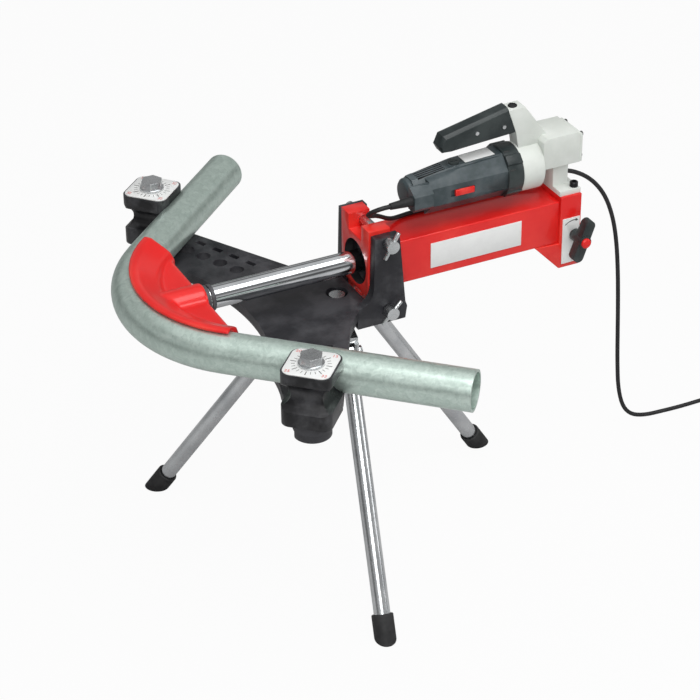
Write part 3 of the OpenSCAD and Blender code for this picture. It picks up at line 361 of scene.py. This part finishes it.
paintLooks = {
    # the edge colours of these finishes are partly worn paint and partly painted highlight on convex edges
    "redEnamel": {"dark": (0.68, 0.008, 0.007), "light": (0.80, 0.012, 0.011), "rough": (0.30, 0.40),
                  "pebble": 420.0, "cloud": 9.0, "coat": 0.40, "bump": 0.05, "wearAndHighlight": 0.25,
                  "bare": (0.95, 0.20, 0.12), "scratch": 0.10},
    "castBlack": {"dark": (0.012, 0.012, 0.015), "light": (0.020, 0.020, 0.025), "rough": (0.36, 0.50),
                  "pebble": 520.0, "cloud": 18.0, "bump": 0.40, "bumpDepth": 0.0006, "wearAndHighlight": 0.5,
                  "bare": (0.16, 0.16, 0.17), "scratch": 0.20},
    "rollerBlack": {"dark": (0.005, 0.005, 0.006), "light": (0.010, 0.010, 0.012), "rough": (0.26, 0.40),
                    "pebble": 700.0, "cloud": 24.0, "bump": 0.25, "wearAndHighlight": 0.6, "bare": (0.14, 0.14, 0.15),
                    "scratch": 0.35},
    "pumpGrey": {"dark": (0.60, 0.63, 0.59), "light": (0.68, 0.71, 0.67), "rough": (0.42, 0.58),
                 "pebble": 900.0, "cloud": 16.0, "bump": 0.25, "wearAndHighlight": 0.3, "bare": (0.80, 0.82, 0.80),
                 "scratch": 0.08},
    "motorGrey": {"dark": (0.030, 0.044, 0.049), "light": (0.044, 0.062, 0.068), "rough": (0.30, 0.44),
                  "pebble": 1600.0, "cloud": 20.0, "bump": 0.20, "wearAndHighlight": 0.5, "bare": (0.12, 0.14, 0.15),
                  "scratch": 0.15},
    "blackPlastic": {"dark": (0.014, 0.020, 0.021), "light": (0.025, 0.035, 0.035), "rough": (0.30, 0.44),
                     "pebble": 1500.0, "cloud": 22.0, "bump": 0.20, "wearAndHighlight": 0.5, "bare": (0.08, 0.09, 0.09),
                     "scratch": 0.15},
    # near-black rubber, also used as painted shade inside the head's opening, in the louvres and on the
    # bracket screw
    "rubber": {"dark": (0.008, 0.008, 0.009), "light": (0.018, 0.018, 0.019), "rough": (0.55, 0.72),
               "pebble": 1300.0, "cloud": 40.0, "bump": 0.35, "wearAndHighlight": 0.4, "bare": (0.06, 0.06, 0.06),
               "scratch": 0.12},
    "cordRubber": {"dark": (0.009, 0.009, 0.010), "light": (0.020, 0.020, 0.022), "rough": (0.46, 0.62),
                   "pebble": 1200.0, "cloud": 60.0, "bump": 0.2, "wearAndHighlight": 0.0, "scratch": 0.1},
    "redPlastic": {"dark": (0.66, 0.010, 0.009), "light": (0.76, 0.014, 0.011), "rough": (0.28, 0.40),
                   "pebble": 1500.0, "cloud": 60.0, "bump": 0.1, "wearAndHighlight": 0.3, "bare": (0.9, 0.2, 0.15),
                   "scratch": 0.1},
    "plateWhite": {"dark": (0.74, 0.75, 0.74), "light": (0.82, 0.83, 0.82), "rough": (0.30, 0.42),
                   "pebble": 300.0, "cloud": 40.0, "bump": 0.08, "wearAndHighlight": 0.4, "bare": (0.6, 0.6, 0.6),
                   "scratch": 0.25},
    "fanWhite": {"dark": (0.60, 0.60, 0.57), "light": (0.72, 0.72, 0.70), "rough": (0.4, 0.55),
                 "pebble": 900.0, "cloud": 40.0},
    # black ink for the printed marks, also used as painted shade for the flange's slits
    "inkAndShadeBlack": {"dark": (0.020, 0.022, 0.022), "light": (0.050, 0.052, 0.052), "rough": (0.40, 0.55),
                 "pebble": 900.0, "cloud": 120.0, "bump": 0.1, "scratch": 0.5},
    "inkRed": {"dark": (0.55, 0.06, 0.05), "light": (0.68, 0.12, 0.10), "rough": (0.40, 0.55),
               "pebble": 900.0, "cloud": 120.0, "bump": 0.1, "scratch": 0.5},
}
metalLooks = {
    "chromeRod": {"dark": (0.56, 0.58, 0.60), "light": (0.84, 0.86, 0.88), "along": (0.03, 1, 1),
                  "grain": 260.0, "rough": (0.05, 0.12), "streak": 0.30, "scratch": 0.25, "bump": 0.02},
    "brightZinc": {"dark": (0.52, 0.54, 0.55), "light": (0.76, 0.78, 0.79), "grain": 140.0,
                   "rough": (0.20, 0.34), "streak": 0.3},
    "legZinc": {"dark": (0.56, 0.58, 0.60), "light": (0.82, 0.84, 0.85), "along": (1, 1, 0.06),
                "grain": 240.0, "rough": (0.16, 0.30), "streak": 0.3},
    "boltSteel": {"dark": (0.56, 0.58, 0.59), "light": (0.80, 0.82, 0.83), "grain": 200.0,
                  "rough": (0.22, 0.36), "streak": 0.3},
    "darkScrew": {"dark": (0.035, 0.035, 0.038), "light": (0.075, 0.075, 0.08), "grain": 200.0,
                  "rough": (0.28, 0.42)},
    "copperWire": {"dark": (0.42, 0.18, 0.08), "light": (0.70, 0.36, 0.20), "along": (1, 0.1, 0.1),
                   "grain": 300.0, "rough": (0.3, 0.45)},
}
zincLooks = {
    "galvanisedPipe": {"metal": 0.76, "size": 120.0, "dark": (0.54, 0.66, 0.60), "light": (0.68, 0.80, 0.735),
                       "stain": 0.18, "stainColor": (0.34, 0.44, 0.39), "rough": (0.28, 0.38),
                       "scratch": 0.05, "scratchScale": 36.0, "scratchShow": 0.3, "bump": 0.18,
                       "bumpDepth": 0.0005, "cellSpan": (0.1, 0.9), "stainSpan": (0.42, 0.74)},
}
finishes = {name: makePaint(name, look) for name, look in paintLooks.items()}
finishes.update({name: makeMetal(name, look) for name, look in metalLooks.items()})
finishes.update({name: makeGalvanised(name, look) for name, look in zincLooks.items()})
print("finishes made:", len(finishes))


# which finish each carried-over node takes
nodeFinish = {
    "castBlack": ["bending_frame", "gland_bush", "nose_collar"],
    "rollerBlack": ["front_roller", "back_roller"],
    "redEnamel": ["cylinder_head", "cylinder_body", "valve_block", "former"],
    "brightZinc": ["tripod_hub", "upper_lock_pin", "upper_tommy_bar", "lower_lock_pin", "lower_tommy_bar",
                   "hub_bolts"],
    "legZinc": ["leg_back", "leg_left", "leg_front"],
    "galvanisedPipe": ["pipe"],
    "chromeRod": ["ram_rod"],
    "pumpGrey": ["pump_base", "pump_housing", "pump_end_cover", "gear_housing", "handle_bracket"],
    "motorGrey": ["motor_housing", "motor_end_cap"],
    "blackPlastic": ["grip", "motor_flange", "brush_caps", "release_knob"],
    "rubber": ["cord_boot", "power_plug", "foot_back", "foot_left", "foot_front", "piston_seal"],
    "cordRubber": ["cord_run", "cord_coil"],
    "plateWhite": ["valve_plate", "name_plate", "front_scale_plate", "back_scale_plate", "motor_plate"],
    "redPlastic": ["knob_cap", "switch_button"],
    "boltSteel": ["grip_screws", "roller_pins", "piston", "release_spindle", "eccentric_shaft", "drive_gear",
                  "pump_plunger", "stator", "motor_bearings"],
    "darkScrew": ["pump_screws"],
    "copperWire": ["armature"],
    "fanWhite": ["cooling_fan"],
}
for finish, members in nodeFinish.items():
    for member in members:
        dress(nodes[member], finishes[finish])
print("nodes dressed:", sum(len(m) for m in nodeFinish.values()))


# copies of the nodes with rounded edges: the former is remeshed and melted, the motor housing stays plain
roundEdges = {
    "bending_frame": {"width": 0.0035, "segments": 4},
    "front_roller": {"width": 0.0024, "segments": 3},
    "back_roller": {"width": 0.0024, "segments": 3},
    "former": {"cell": 0.0015, "melt": 50, "pull": 0.5},
    "cylinder_head": {"width": 0.0020, "segments": 3},
    "cylinder_body": {"width": 0.0105, "segments": 8},
    "valve_block": {"width": 0.0022, "segments": 3},
    "pump_base": {"width": 0.0015, "segments": 3},
    "pump_housing": {"width": 0.0022, "segments": 3},
    "pump_end_cover": {"width": 0.0012, "segments": 3},
    "gear_housing": {"width": 0.0015, "segments": 3},
    "handle_bracket": {"width": 0.0030, "segments": 4},
    "grip": {"width": 0.0022, "segments": 4},
    "motor_housing": {"plain": True, "smooth": 8},
    "motor_end_cap": {"width": 0.0012, "segments": 3},
    "motor_flange": {"width": 0.0015, "segments": 3},
    "release_knob": {"width": 0.0016, "segments": 3},
    "tripod_hub": {"width": 0.0008, "segments": 2},
    "upper_lock_pin": {"width": 0.0012, "segments": 3},
    "lower_lock_pin": {"width": 0.0012, "segments": 3},
    "upper_tommy_bar": {"width": 0.0016, "segments": 4},
    "lower_tommy_bar": {"width": 0.0016, "segments": 4},
    "foot_back": {"width": 0.0020, "segments": 3},
    "foot_left": {"width": 0.0020, "segments": 3},
    "foot_front": {"width": 0.0020, "segments": 3},
    "roller_pins": {"width": 0.0010, "segments": 2},
    "hub_bolts": {"width": 0.0006, "segments": 2},
    "switch_button": {"width": 0.0010, "segments": 3},
    "brush_caps": {"width": 0.0006, "segments": 2},
    "name_plate": {"width": 0.0004, "segments": 2},
    "valve_plate": {"width": 0.0004, "segments": 2},
    "motor_plate": {"width": 0.0003, "segments": 2},
    "front_scale_plate": {"width": 0.0004, "segments": 2},
    "back_scale_plate": {"width": 0.0004, "segments": 2},
    "nose_collar": {"width": 0.0008, "segments": 2},
    "gland_bush": {"width": 0.0010, "segments": 2},
    "power_plug": {"width": 0.0020, "segments": 3},
}


# the former draws in under the pipe, and each wing's front corner draws in behind its roller
formerRise = 0.72
wingCorner = {"along": 0.079, "end": 0.127, "ahead": 0.002, "back": 0.018}


def drawInFormer(obj):
    for vert in obj.data.vertices:
        if vert.co.z < hub.z:
            vert.co.z = hub.z - (hub.z - vert.co.z) * formerRise


def drawInWings(obj):
    for side in ("front", "back"):
        pin = jointPlace[side + "_roller_turn"]
        inward = 1 if pin.y < hub.y else -1
        for vert in obj.data.vertices:
            along = (vert.co.y - pin.y) * inward
            if vert.co.x < pin.x + wingCorner["ahead"] and 0 < along < wingCorner["end"]:
                fall = (wingCorner["end"] - along) / (wingCorner["end"] - wingCorner["along"])
                vert.co.x += wingCorner["back"] * min(along / wingCorner["along"], fall)


reshape = {"former": drawInFormer, "bending_frame": drawInWings}

# in metres and degrees: points this near are one, faces this flat are one, edges this sharp are rounded,
# and edges below the last angle are shaded smooth
weldGap = 2e-6
flatAngle = 0.6
sharpAngle = 28
smoothAngle = 30


def weldedShape(name):
    shape = bmesh.new()
    shape.from_mesh(nodes[name].data)
    bmesh.ops.remove_doubles(shape, verts=shape.verts, dist=weldGap)
    return shape


def roundedCopy(name, edge):
    shape = weldedShape(name)
    if "plain" not in edge:
        bmesh.ops.dissolve_limit(shape, angle_limit=math.radians(flatAngle), use_dissolve_boundaries=False,
                                 verts=shape.verts, edges=shape.edges)
    obj = objectFrom(name + "Rounded", shape)
    if "cell" in edge:
        remesh = obj.modifiers.new("cells", "REMESH")
        remesh.mode, remesh.voxel_size = "VOXEL", edge["cell"]
        melt = obj.modifiers.new("melt", "SMOOTH")
        melt.factor, melt.iterations = edge["pull"], edge["melt"]
    elif "width" in edge:
        bevel = obj.modifiers.new("edges", "BEVEL")
        bevel.width, bevel.segments = edge["width"], edge["segments"]
        bevel.limit_method, bevel.angle_limit = "ANGLE", math.radians(sharpAngle)
        bevel.use_clamp_overlap, bevel.miter_outer = True, "MITER_ARC"
    applied(obj)
    if name in reshape:
        reshape[name](obj)
    markEdges(obj)
    smoothed(obj, edge.get("smooth", smoothAngle))
    dress(obj, nodes[name].data.materials[0])
    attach(obj, nodeBody[name])
    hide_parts(name)
    return obj


# how sharply the surface turns at each point, for the paint's lighter edges, partly wear and partly painted
# highlight: 1 at this many radians
wearAndHighlightAngle = 0.5


def markEdges(obj):
    mesh = obj.data
    turn = [0.0] * len(mesh.vertices)
    shape = bmesh.new()
    shape.from_mesh(mesh)
    shape.verts.ensure_lookup_table()
    for line in shape.edges:
        if len(line.link_faces) == 2 and line.is_convex:
            bend = line.calc_face_angle(0.0)
            for end in line.verts:
                turn[end.index] = max(turn[end.index], min(1.0, bend / wearAndHighlightAngle))
    shape.free()
    layer = mesh.attributes.new("edge", "FLOAT", "POINT")
    layer.data.foreach_set("value", turn)


# the inside of the cylinder head's front opening and the walls of the motor's louvres take a near-black
# finish as painted shade
headOpening = {"radius": 0.0362, "tilt": 0.3}
louvreZone = {"length": 0.075, "halfWidth": 0.018, "above": 0.007, "side": 0.9, "flat": 0.9999}
motorLow, motorHigh = boxOf("motor_housing")


def inHeadOpening(face):
    out = Vector((0.0, face.center.y - hub.y, face.center.z - hub.z))
    inward = face.normal.dot(out) < 0 and abs(face.normal.x) < headOpening["tilt"]
    return inward and out.length < headOpening["radius"]


def inLouvre(face):
    off = face.center - (motorLow + motorHigh) / 2
    near = face.center.x < motorLow.x + louvreZone["length"] and abs(off.y) < louvreZone["halfWidth"]
    wall = abs(face.normal.y) > louvreZone["side"] or face.normal.z > louvreZone["flat"]
    return near and wall and off.z > louvreZone["above"]


paintedShadeInside = {"cylinder_head": inHeadOpening, "motor_housing": inLouvre}


# the chosen faces take the near-black finish as painted shade
def paintShade(obj, within):
    obj.data.materials.append(finishes["rubber"])
    for face in obj.data.polygons:
        if within(face):
            face.material_index = 1


for name, edge in roundEdges.items():
    rounded = roundedCopy(name, edge)
    if name in paintedShadeInside:
        paintShade(rounded, paintedShadeInside[name])
print("rounded copies:", len(roundEdges))


# node trees that lay out repeated marks and screws
def endLayout(tree, inp, out, instances):
    whole = addNode(tree, "GeometryNodeRealizeInstances", [(0, instances)])
    dressed = addNode(tree, "GeometryNodeSetMaterial", [("Geometry", whole.outputs[0]),
                                                        ("Material", inp.outputs["Material"])])
    tree.links.new(dressed.outputs[0], out.inputs[0])
    return tree


def makeMarkLayout():
    tree, inp, out = newTree("markRing", "GeometryNodeTree",
                             {"Count": "int", "Radius": "float", "Start": "float", "Step": "float",
                              "Length": "float", "Width": "float", "Thickness": "float",
                              "Material": "material"}, {"Geometry": "geometry"})
    index = tree.nodes.new("GeometryNodeInputIndex").outputs[0]
    angle = addMath(tree, "ADD", addMath(tree, "MULTIPLY", index, inp.outputs["Step"]), inp.outputs["Start"])
    reach = [addMath(tree, "MULTIPLY", addMath(tree, turn, angle), inp.outputs["Radius"])
             for turn in ("COSINE", "SINE")]
    place = addNode(tree, "ShaderNodeCombineXYZ", [(0, reach[0]), (1, reach[1])])
    aim = addNode(tree, "ShaderNodeCombineXYZ", [(2, angle)])
    points = addNode(tree, "GeometryNodePoints",
                     [("Count", inp.outputs["Count"]), ("Position", place.outputs[0])])
    size = addNode(tree, "ShaderNodeCombineXYZ", [(0, inp.outputs["Length"]), (1, inp.outputs["Width"]),
                                                  (2, inp.outputs["Thickness"])])
    mark = addNode(tree, "GeometryNodeMeshCube", [("Size", size.outputs[0])])
    marks = addNode(tree, "GeometryNodeInstanceOnPoints",
                    [("Points", points.outputs[0]), ("Instance", mark.outputs[0]),
                     ("Rotation", aim.outputs[0])])
    return endLayout(tree, inp, out, marks.outputs[0])


def makeScrewLayout():
    tree, inp, out = newTree("screwSet", "GeometryNodeTree",
                             {"Geometry": "geometry", "Head": "object", "Material": "material"},
                             {"Geometry": "geometry"})
    aim = addNode(tree, "GeometryNodeInputNamedAttribute", data_type="FLOAT_VECTOR", values={"Name": "aim"})
    turned = addNode(tree, "FunctionNodeAlignRotationToVector", [("Vector", aim.outputs[0])], axis="Z")
    head = addNode(tree, "GeometryNodeObjectInfo", [("Object", inp.outputs["Head"])])
    points = addNode(tree, "GeometryNodeMeshToPoints", [("Mesh", inp.outputs["Geometry"])])
    screws = addNode(tree, "GeometryNodeInstanceOnPoints", [("Points", points.outputs[0]),
                                                            ("Instance", head.outputs["Geometry"]),
                                                            ("Rotation", turned.outputs[0])])
    return endLayout(tree, inp, out, screws.outputs[0])


def laidOut(name, tree, settings, mesh=None):
    obj = addObject(name, mesh or bpy.data.meshes.new(name))
    layout = obj.modifiers.new("layout", "NODES")
    layout.node_group = tree
    for socket in tree.interface.items_tree:
        if socket.in_out == "INPUT" and socket.name in settings:
            layout[socket.identifier] = settings[socket.name]
    return applied(obj)


markLayout = makeMarkLayout()
screwLayout = makeScrewLayout()


def finishPiece(obj, body, material, place=None):
    if place is not None:
        obj.data.transform(place)
    dress(obj, material)
    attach(obj, body)


# a round head with a hexagon socket, lofted from rings, top at z = 0; the chamfer is in shares of the radius
headSides = 36
headChamfer = {"drop": 0.12, "top": 0.9}
screwSmooth = 40


def makeSocketHead(name, radius, height, socket, depth):
    shape = bmesh.new()

    def ring(reach, z):
        return [shape.verts.new((reach(a) * math.cos(a), reach(a) * math.sin(a), z))
                for a in (2 * math.pi * k / headSides for k in range(headSides))]

    def hexagon(a):
        return socket / math.cos((a + math.pi / 6) % (math.pi / 3) - math.pi / 6)

    loops = [ring(lambda a: radius, -height), ring(lambda a: radius, -radius * headChamfer["drop"]),
             ring(lambda a: radius * headChamfer["top"], 0.0), ring(hexagon, 0.0), ring(hexagon, -depth)]
    for low, high in zip(loops, loops[1:]):
        for k in range(headSides):
            after = (k + 1) % headSides
            shape.faces.new((low[k], low[after], high[after], high[k]))
    shape.faces.new(loops[-1])
    shape.faces.new(list(reversed(loops[0])))
    return objectFrom(name, shape)


# the separate bodies of a node, as boxes
def islandBoxes(name):
    shape = weldedShape(name)
    boxes, seen = [], set()
    for start in shape.verts:
        if start in seen:
            continue
        seen.add(start)
        group, front = [], [start]
        while front:
            vert = front.pop()
            group.append(vert.co)
            others = [line.other_vert(vert) for line in vert.link_edges]
            front += [other for other in others if other not in seen]
            seen.update(others)
        boxes.append(boxAround(group))
    shape.free()
    return boxes


# socket screws of the pump, where the solid's plain screws stand; the socket is in shares of the radius
pumpSocket = {"reach": 0.5, "depth": 0.6}


def addPumpScrews(look):
    stands = []
    for low, high in islandBoxes("pump_screws"):
        size, middle = high - low, (low + high) / 2
        along = min(range(3), key=lambda k: abs(size[(k + 1) % 3] - size[(k + 2) % 3]))
        axis = Vector([float(k == along) for k in range(3)])
        stands.append({"along": along, "axis": axis, "top": middle + axis * size[along] / 2,
                       "height": size[along], "radius": size[(along + 1) % 3] / 2})
    for part, along in (("cover", 0), ("base", 2)):
        chosen = [stand for stand in stands if stand["along"] == along]
        mesh = bpy.data.meshes.new(part + "ScrewSpots")
        mesh.from_pydata([tuple(stand["top"]) for stand in chosen], [], [])
        aim = mesh.attributes.new("aim", "FLOAT_VECTOR", "POINT")
        aim.data.foreach_set("vector", [value for stand in chosen for value in stand["axis"]])
        radius, height = chosen[0]["radius"], chosen[0]["height"]
        head = makeSocketHead(part + "ScrewHead", radius, height, radius * look["reach"],
                              radius * look["depth"])
        settings = {"Head": head, "Material": finishes["darkScrew"]}
        screws = laidOut(part + "Screws", screwLayout, settings, mesh)
        bpy.data.objects.remove(head)
        smoothed(screws, screwSmooth)
        finishPiece(screws, "machine", finishes["darkScrew"])
        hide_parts("pump_screws")


# printed dials on the two scale plates: ticks round the bolt and plain numbers at the corners
dialLook = {"ticks": 24, "tickRadius": 0.0250, "tickLength": 0.0052, "tickWidth": 0.0008, "ink": 0.00012,
            "longTicks": 8, "longRadius": 0.0258, "longLength": 0.0085, "longWidth": 0.0012,
            "numbers": ("15", "20", "25", "32"), "numberRadius": 0.0372, "numberSize": 0.0085}


def printedNumber(name, text, size, thick):
    curve = bpy.data.curves.new(name, "FONT")
    curve.body, curve.size, curve.extrude = text, size, thick / 2
    curve.align_x, curve.align_y = "CENTER", "CENTER"
    obj = addObject(name, curve)
    mesh = finalMesh(obj)
    bpy.data.objects.remove(obj)
    return addObject(name, mesh)


def addDial(side, turn, look):
    low, high = boxOf(side + "_scale_plate")
    body = side + "_roller"
    middle = (low + high) / 2
    top = Matrix.Translation((middle.x, middle.y, high.z + look["ink"] / 2)) @ Matrix.Rotation(turn, 4, "Z")
    for kind, count in (("tick", look["ticks"]), ("long", look["longTicks"])):
        marks = laidOut(side + kind.capitalize() + "Marks", markLayout,
                        {"Count": count, "Radius": look[kind + "Radius"], "Start": 0.0,
                         "Step": 2 * math.pi / count, "Length": look[kind + "Length"],
                         "Width": look[kind + "Width"], "Thickness": look["ink"],
                         "Material": finishes["inkAndShadeBlack"]})
        finishPiece(marks, body, finishes["inkAndShadeBlack"], top)
    for k, text in enumerate(look["numbers"]):
        corner = math.pi / 4 + k * math.pi / 2
        number = printedNumber(side + "Number" + text, text, look["numberSize"], look["ink"])
        away = Vector((math.cos(corner), math.sin(corner), 0)) * look["numberRadius"]
        finishPiece(number, body, finishes["inkRed"], top @ Matrix.Translation(away))


# the socket screw in the top of the handle's bracket, near-black all over as painted shade of the hole it
# sits in
bracketScrew = {"place": (294, 0, 199.6), "radius": 0.0072, "height": 0.0030, "socket": 0.0050,
                "depth": 0.0010}


def addBracketScrewShade(look):
    head = makeSocketHead("bracketScrew", look["radius"], look["height"], look["socket"], look["depth"])
    smoothed(head, screwSmooth)
    # the near-black finish is painted shade of the screw's hole
    finishPiece(head, "machine", finishes["rubber"], Matrix.Translation(spot(*look["place"])))


# black marks round the front of the motor's flange where its cooling slits are: painted shade of the slits'
# openings
flangeSlits = {"count": 8, "width": 0.0026, "length": 0.009, "proud": 0.0006, "setBack": 0.0072}


def addFlangeSlitShade(look):
    low, high = boxOf("motor_flange")
    middle = (low + high) / 2
    reach = (high.y - low.y) / 2
    slitShade = laidOut("flangeSlits", markLayout,
                    {"Count": look["count"], "Radius": reach, "Start": math.pi / look["count"],
                     "Step": 2 * math.pi / look["count"], "Length": look["proud"], "Width": look["width"],
                     "Thickness": look["length"], "Material": finishes["inkAndShadeBlack"]})
    centre = Matrix.Translation((low.x + look["setBack"], middle.y, middle.z))
    finishPiece(slitShade, "machine", finishes["inkAndShadeBlack"], centre @ Matrix.Rotation(math.pi / 2, 4, "Y"))


# a flat closed shape of a given thickness, from its outline
def flatShape(name, outline, thick):
    shape = bmesh.new()
    face = shape.faces.new([shape.verts.new((x, y, 0)) for x, y in outline])
    grown = bmesh.ops.extrude_face_region(shape, geom=[face])
    raised = [g for g in grown["geom"] if isinstance(g, bmesh.types.BMVert)]
    bmesh.ops.translate(shape, vec=(0, 0, thick), verts=raised)
    bmesh.ops.recalc_face_normals(shape, faces=shape.faces)
    return objectFrom(name, shape)


# the turning arrow printed on the plate round the release valve
arrowLook = {"radius": 0.0235, "width": 0.0014, "from": 132, "to": 84, "steps": 16,
             "head": 0.0026, "headTurn": 12, "ink": 0.00012}


def addValveArrow(look):
    plateFront = boxOf("valve_plate")[0].y
    centre = jointPlace["release_valve_turn"]

    def around(radius, degrees):
        return radius * math.cos(math.radians(degrees)), radius * math.sin(math.radians(degrees))

    turn = (look["to"] - look["from"]) / look["steps"]
    sweep = [look["from"] + turn * k for k in range(look["steps"] + 1)]
    outline = [around(look["radius"] + look["width"] / 2, a) for a in sweep]
    outline += [around(look["radius"] + look["head"], look["to"]),
                around(look["radius"], look["to"] - look["headTurn"]),
                around(look["radius"] - look["head"], look["to"])]
    outline += [around(look["radius"] - look["width"] / 2, a) for a in reversed(sweep)]
    arrow = flatShape("valveArrow", outline, look["ink"])
    place = Matrix.Translation((centre.x, plateFront, centre.z)) @ Matrix.Rotation(math.pi / 2, 4, "X")
    finishPiece(arrow, "machine", finishes["inkAndShadeBlack"], place)


addPumpScrews(pumpSocket)
addValveArrow(arrowLook)
pipeTurn = math.radians(43)
addDial("front", -pipeTurn, dialLook)
addDial("back", pipeTurn, dialLook)
addBracketScrewShade(bracketScrew)
addFlangeSlitShade(flangeSlits)
print("marks and screws laid out")


# the mains lead, from the boot over the cylinder to the coil on the floor
lead = {"diameter": 0.007, "turns": 4, "step": 7.6, "innerRadius": 31.0, "centreX": 750.0, "tail": 60.0,
        "leadIn": 7.0, "cuts": 4, "turnStep": 15,
        "route": [(72, -34, 98), (65, -34, 98), (57.3, -32.9, 97), (50.9, -29.6, 94.1), (46.5, -24.7, 89.9),
                  (45, -19, 84.8), (46.5, -13.3, 79.7), (50.9, -8.4, 75.5), (57.3, -4.6, 72), (66, 0, 68),
                  (78, 7, 60), (91, 15, 50.5), (104, 22, 43.5), (120, 28, 40.2), (140, 31, 39.8),
                  (175, 31, 39.8), (210, 31, 39.8), (245, 31, 39.8), (280, 31, 39.8), (315, 32, 40.5),
                  (340, 33, 44.5), (365, 33.5, 47.8), (398, 34, 47.8), (425, 34, 41), (452, 34, 25),
                  (474, 34, 3), (492, 34, -26), (506, 34, -65), (515, 34, -110), (521, 34, -165),
                  (525, 34, -225), (528, 34, -285), (531, 34, -340), (536, 34, -390), (546, 33, -428),
                  (563, 32, -450), (588, 29, -458.3), (622, 26, -459.3), (660, 24, -459.3), (700, 24, -459.3),
                  (736, 24, -459.3)]}


def splinePoint(a, b, c, d, t):
    bend = (2 * a - 5 * b + 4 * c - d) * t * t
    twist = (3 * b - a - 3 * c + d) * t ** 3
    return 0.5 * (2 * b + (c - a) * t + bend + twist)


def leadPath(settings):
    knots = [Vector(p) for p in settings["route"]]
    last = len(knots) - 1
    path = []
    for i in range(last):
        around = [knots[max(i - 1, 0)], knots[i], knots[i + 1], knots[min(i + 2, last)]]
        path += [splinePoint(*around, t / settings["cuts"]) for t in range(settings["cuts"])]
    path.append(knots[last])
    path.append(knots[last] + Vector((settings["leadIn"], 0, 0)))
    outer = settings["innerRadius"] + (settings["turns"] - 0.5) * settings["step"]
    centreY, floor = knots[last].y - outer, knots[last].z
    down = settings["turns"] * 360
    steps = int((2 * down + 180) / settings["turnStep"])
    for k in range(steps + 1):
        angle = settings["turnStep"] * k
        reach = outer - settings["step"] * (min(angle, down) - max(0, angle - down - 180)) / 360
        rise = settings["step"] * min(1, max(0, (angle - down) / 180))
        path.append(Vector((settings["centreX"] + reach * math.sin(math.radians(angle)),
                            centreY + reach * math.cos(math.radians(angle)), floor + rise)))
    path.append(path[-1] + Vector((-settings["tail"], 0, 0)))
    return [spot(*p) for p in path]


def makeLead(settings):
    path = leadPath(settings)
    curve = bpy.data.curves.new("mainsLead", "CURVE")
    curve.dimensions = "3D"
    curve.bevel_depth = settings["diameter"] / 2
    curve.bevel_resolution = 4
    curve.use_fill_caps = True
    line = curve.splines.new("POLY")
    line.points.add(len(path) - 1)
    for point, place in zip(line.points, path):
        point.co = (*place, 1)
    line.use_smooth = True
    cord = addObject("mainsLead", curve)
    dress(cord, finishes["cordRubber"])
    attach(cord, "machine")
    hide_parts("cord_run", "cord_coil")


makeLead(lead)


# floor, world and lamps
skyBands = [(0.0, 0.16), (0.22, 0.20), (0.30, 0.70), (0.42, 0.75), (0.50, 0.28), (0.68, 0.32),
            (0.76, 1.0), (1.0, 1.0)]
skyStrength = 0.66
floorLook = {"size": 30, "drop": 0.0005, "color": (0.52, 0.52, 0.52), "rough": 0.9, "gloss": 0.1,
             "white": 0.95}


# a surface that the camera sees as white, by the given share, and that lights the object as it is
def cameraWhite(tree, plain, share):
    rays = tree.nodes.new("ShaderNodeLightPath")
    glow = addNode(tree, "ShaderNodeEmission", values={"Color": (1, 1, 1, 1), "Strength": 1.0})
    part = addMath(tree, "MULTIPLY", rays.outputs["Is Camera Ray"], share)
    return addNode(tree, "ShaderNodeMixShader", [(0, part), (1, plain), (2, glow.outputs[0])]).outputs[0]


def addFloor(look):
    bpy.ops.mesh.primitive_plane_add(size=look["size"], location=(0, 0, -look["drop"]))
    floor = bpy.context.object
    floor.name = "paleFloor"
    mat = bpy.data.materials.new("paleFloor")
    mat.use_nodes = True
    tree = mat.node_tree
    shader = tree.nodes["Principled BSDF"]
    shader.inputs["Base Color"].default_value = (*look["color"], 1)
    shader.inputs["Roughness"].default_value = look["rough"]
    shader.inputs["Specular IOR Level"].default_value = look["gloss"]
    surface = cameraWhite(tree, shader.outputs[0], look["white"])
    tree.links.new(surface, tree.nodes["Material Output"].inputs["Surface"])
    dress(floor, mat)


def addSky(bands, strength):
    world = bpy.data.worlds.new("studio")
    scene.world = world
    world.use_nodes = True
    tree = world.node_tree
    back = tree.nodes["Background"]
    toward = tree.nodes.new("ShaderNodeTexCoord").outputs["Generated"]
    height = addNode(tree, "ShaderNodeSeparateXYZ", [(0, toward)]).outputs["Z"]
    ramp = addNode(tree, "ShaderNodeValToRGB", [(0, height)])
    while len(ramp.color_ramp.elements) < len(bands):
        ramp.color_ramp.elements.new(0.5)
    for stop, (place, level) in zip(ramp.color_ramp.elements, bands):
        stop.position, stop.color = place, (level, level, level, 1)
    tree.links.new(ramp.outputs[0], back.inputs["Color"])
    back.inputs["Strength"].default_value = strength
    tree.links.new(cameraWhite(tree, back.outputs[0], 1.0), tree.nodes["World Output"].inputs["Surface"])


lampLooks = [
    {"name": "keyPanel", "place": (-1.2, -2.6, 2.4), "aim": (0, 0, 0.45), "size": (1.5, 1.5), "power": 48},
    {"name": "topPanel", "place": (0.2, -1.0, 3.0), "aim": (0, 0, 0.4), "size": (2.2, 1.6), "power": 38},
    {"name": "sidePanel", "place": (2.4, -1.6, 1.4), "aim": (0.1, 0, 0.4), "size": (1.2, 1.6), "power": 13},
]


def addLamps(looks):
    for look in looks:
        data = bpy.data.lights.new(look["name"], "AREA")
        data.shape = "RECTANGLE"
        data.size, data.size_y = look["size"]
        data.energy = look["power"]
        lamp = addObject(look["name"], data)
        lamp.location = look["place"]
        toward = Vector(look["aim"]) - Vector(look["place"])
        lamp.rotation_euler = toward.to_track_quat("-Z", "Y").to_euler()


addFloor(floorLook)
addSky(skyBands, skyStrength)
addLamps(lampLooks)
scene.view_settings.view_transform = "Standard"
print("stage and lamps set")
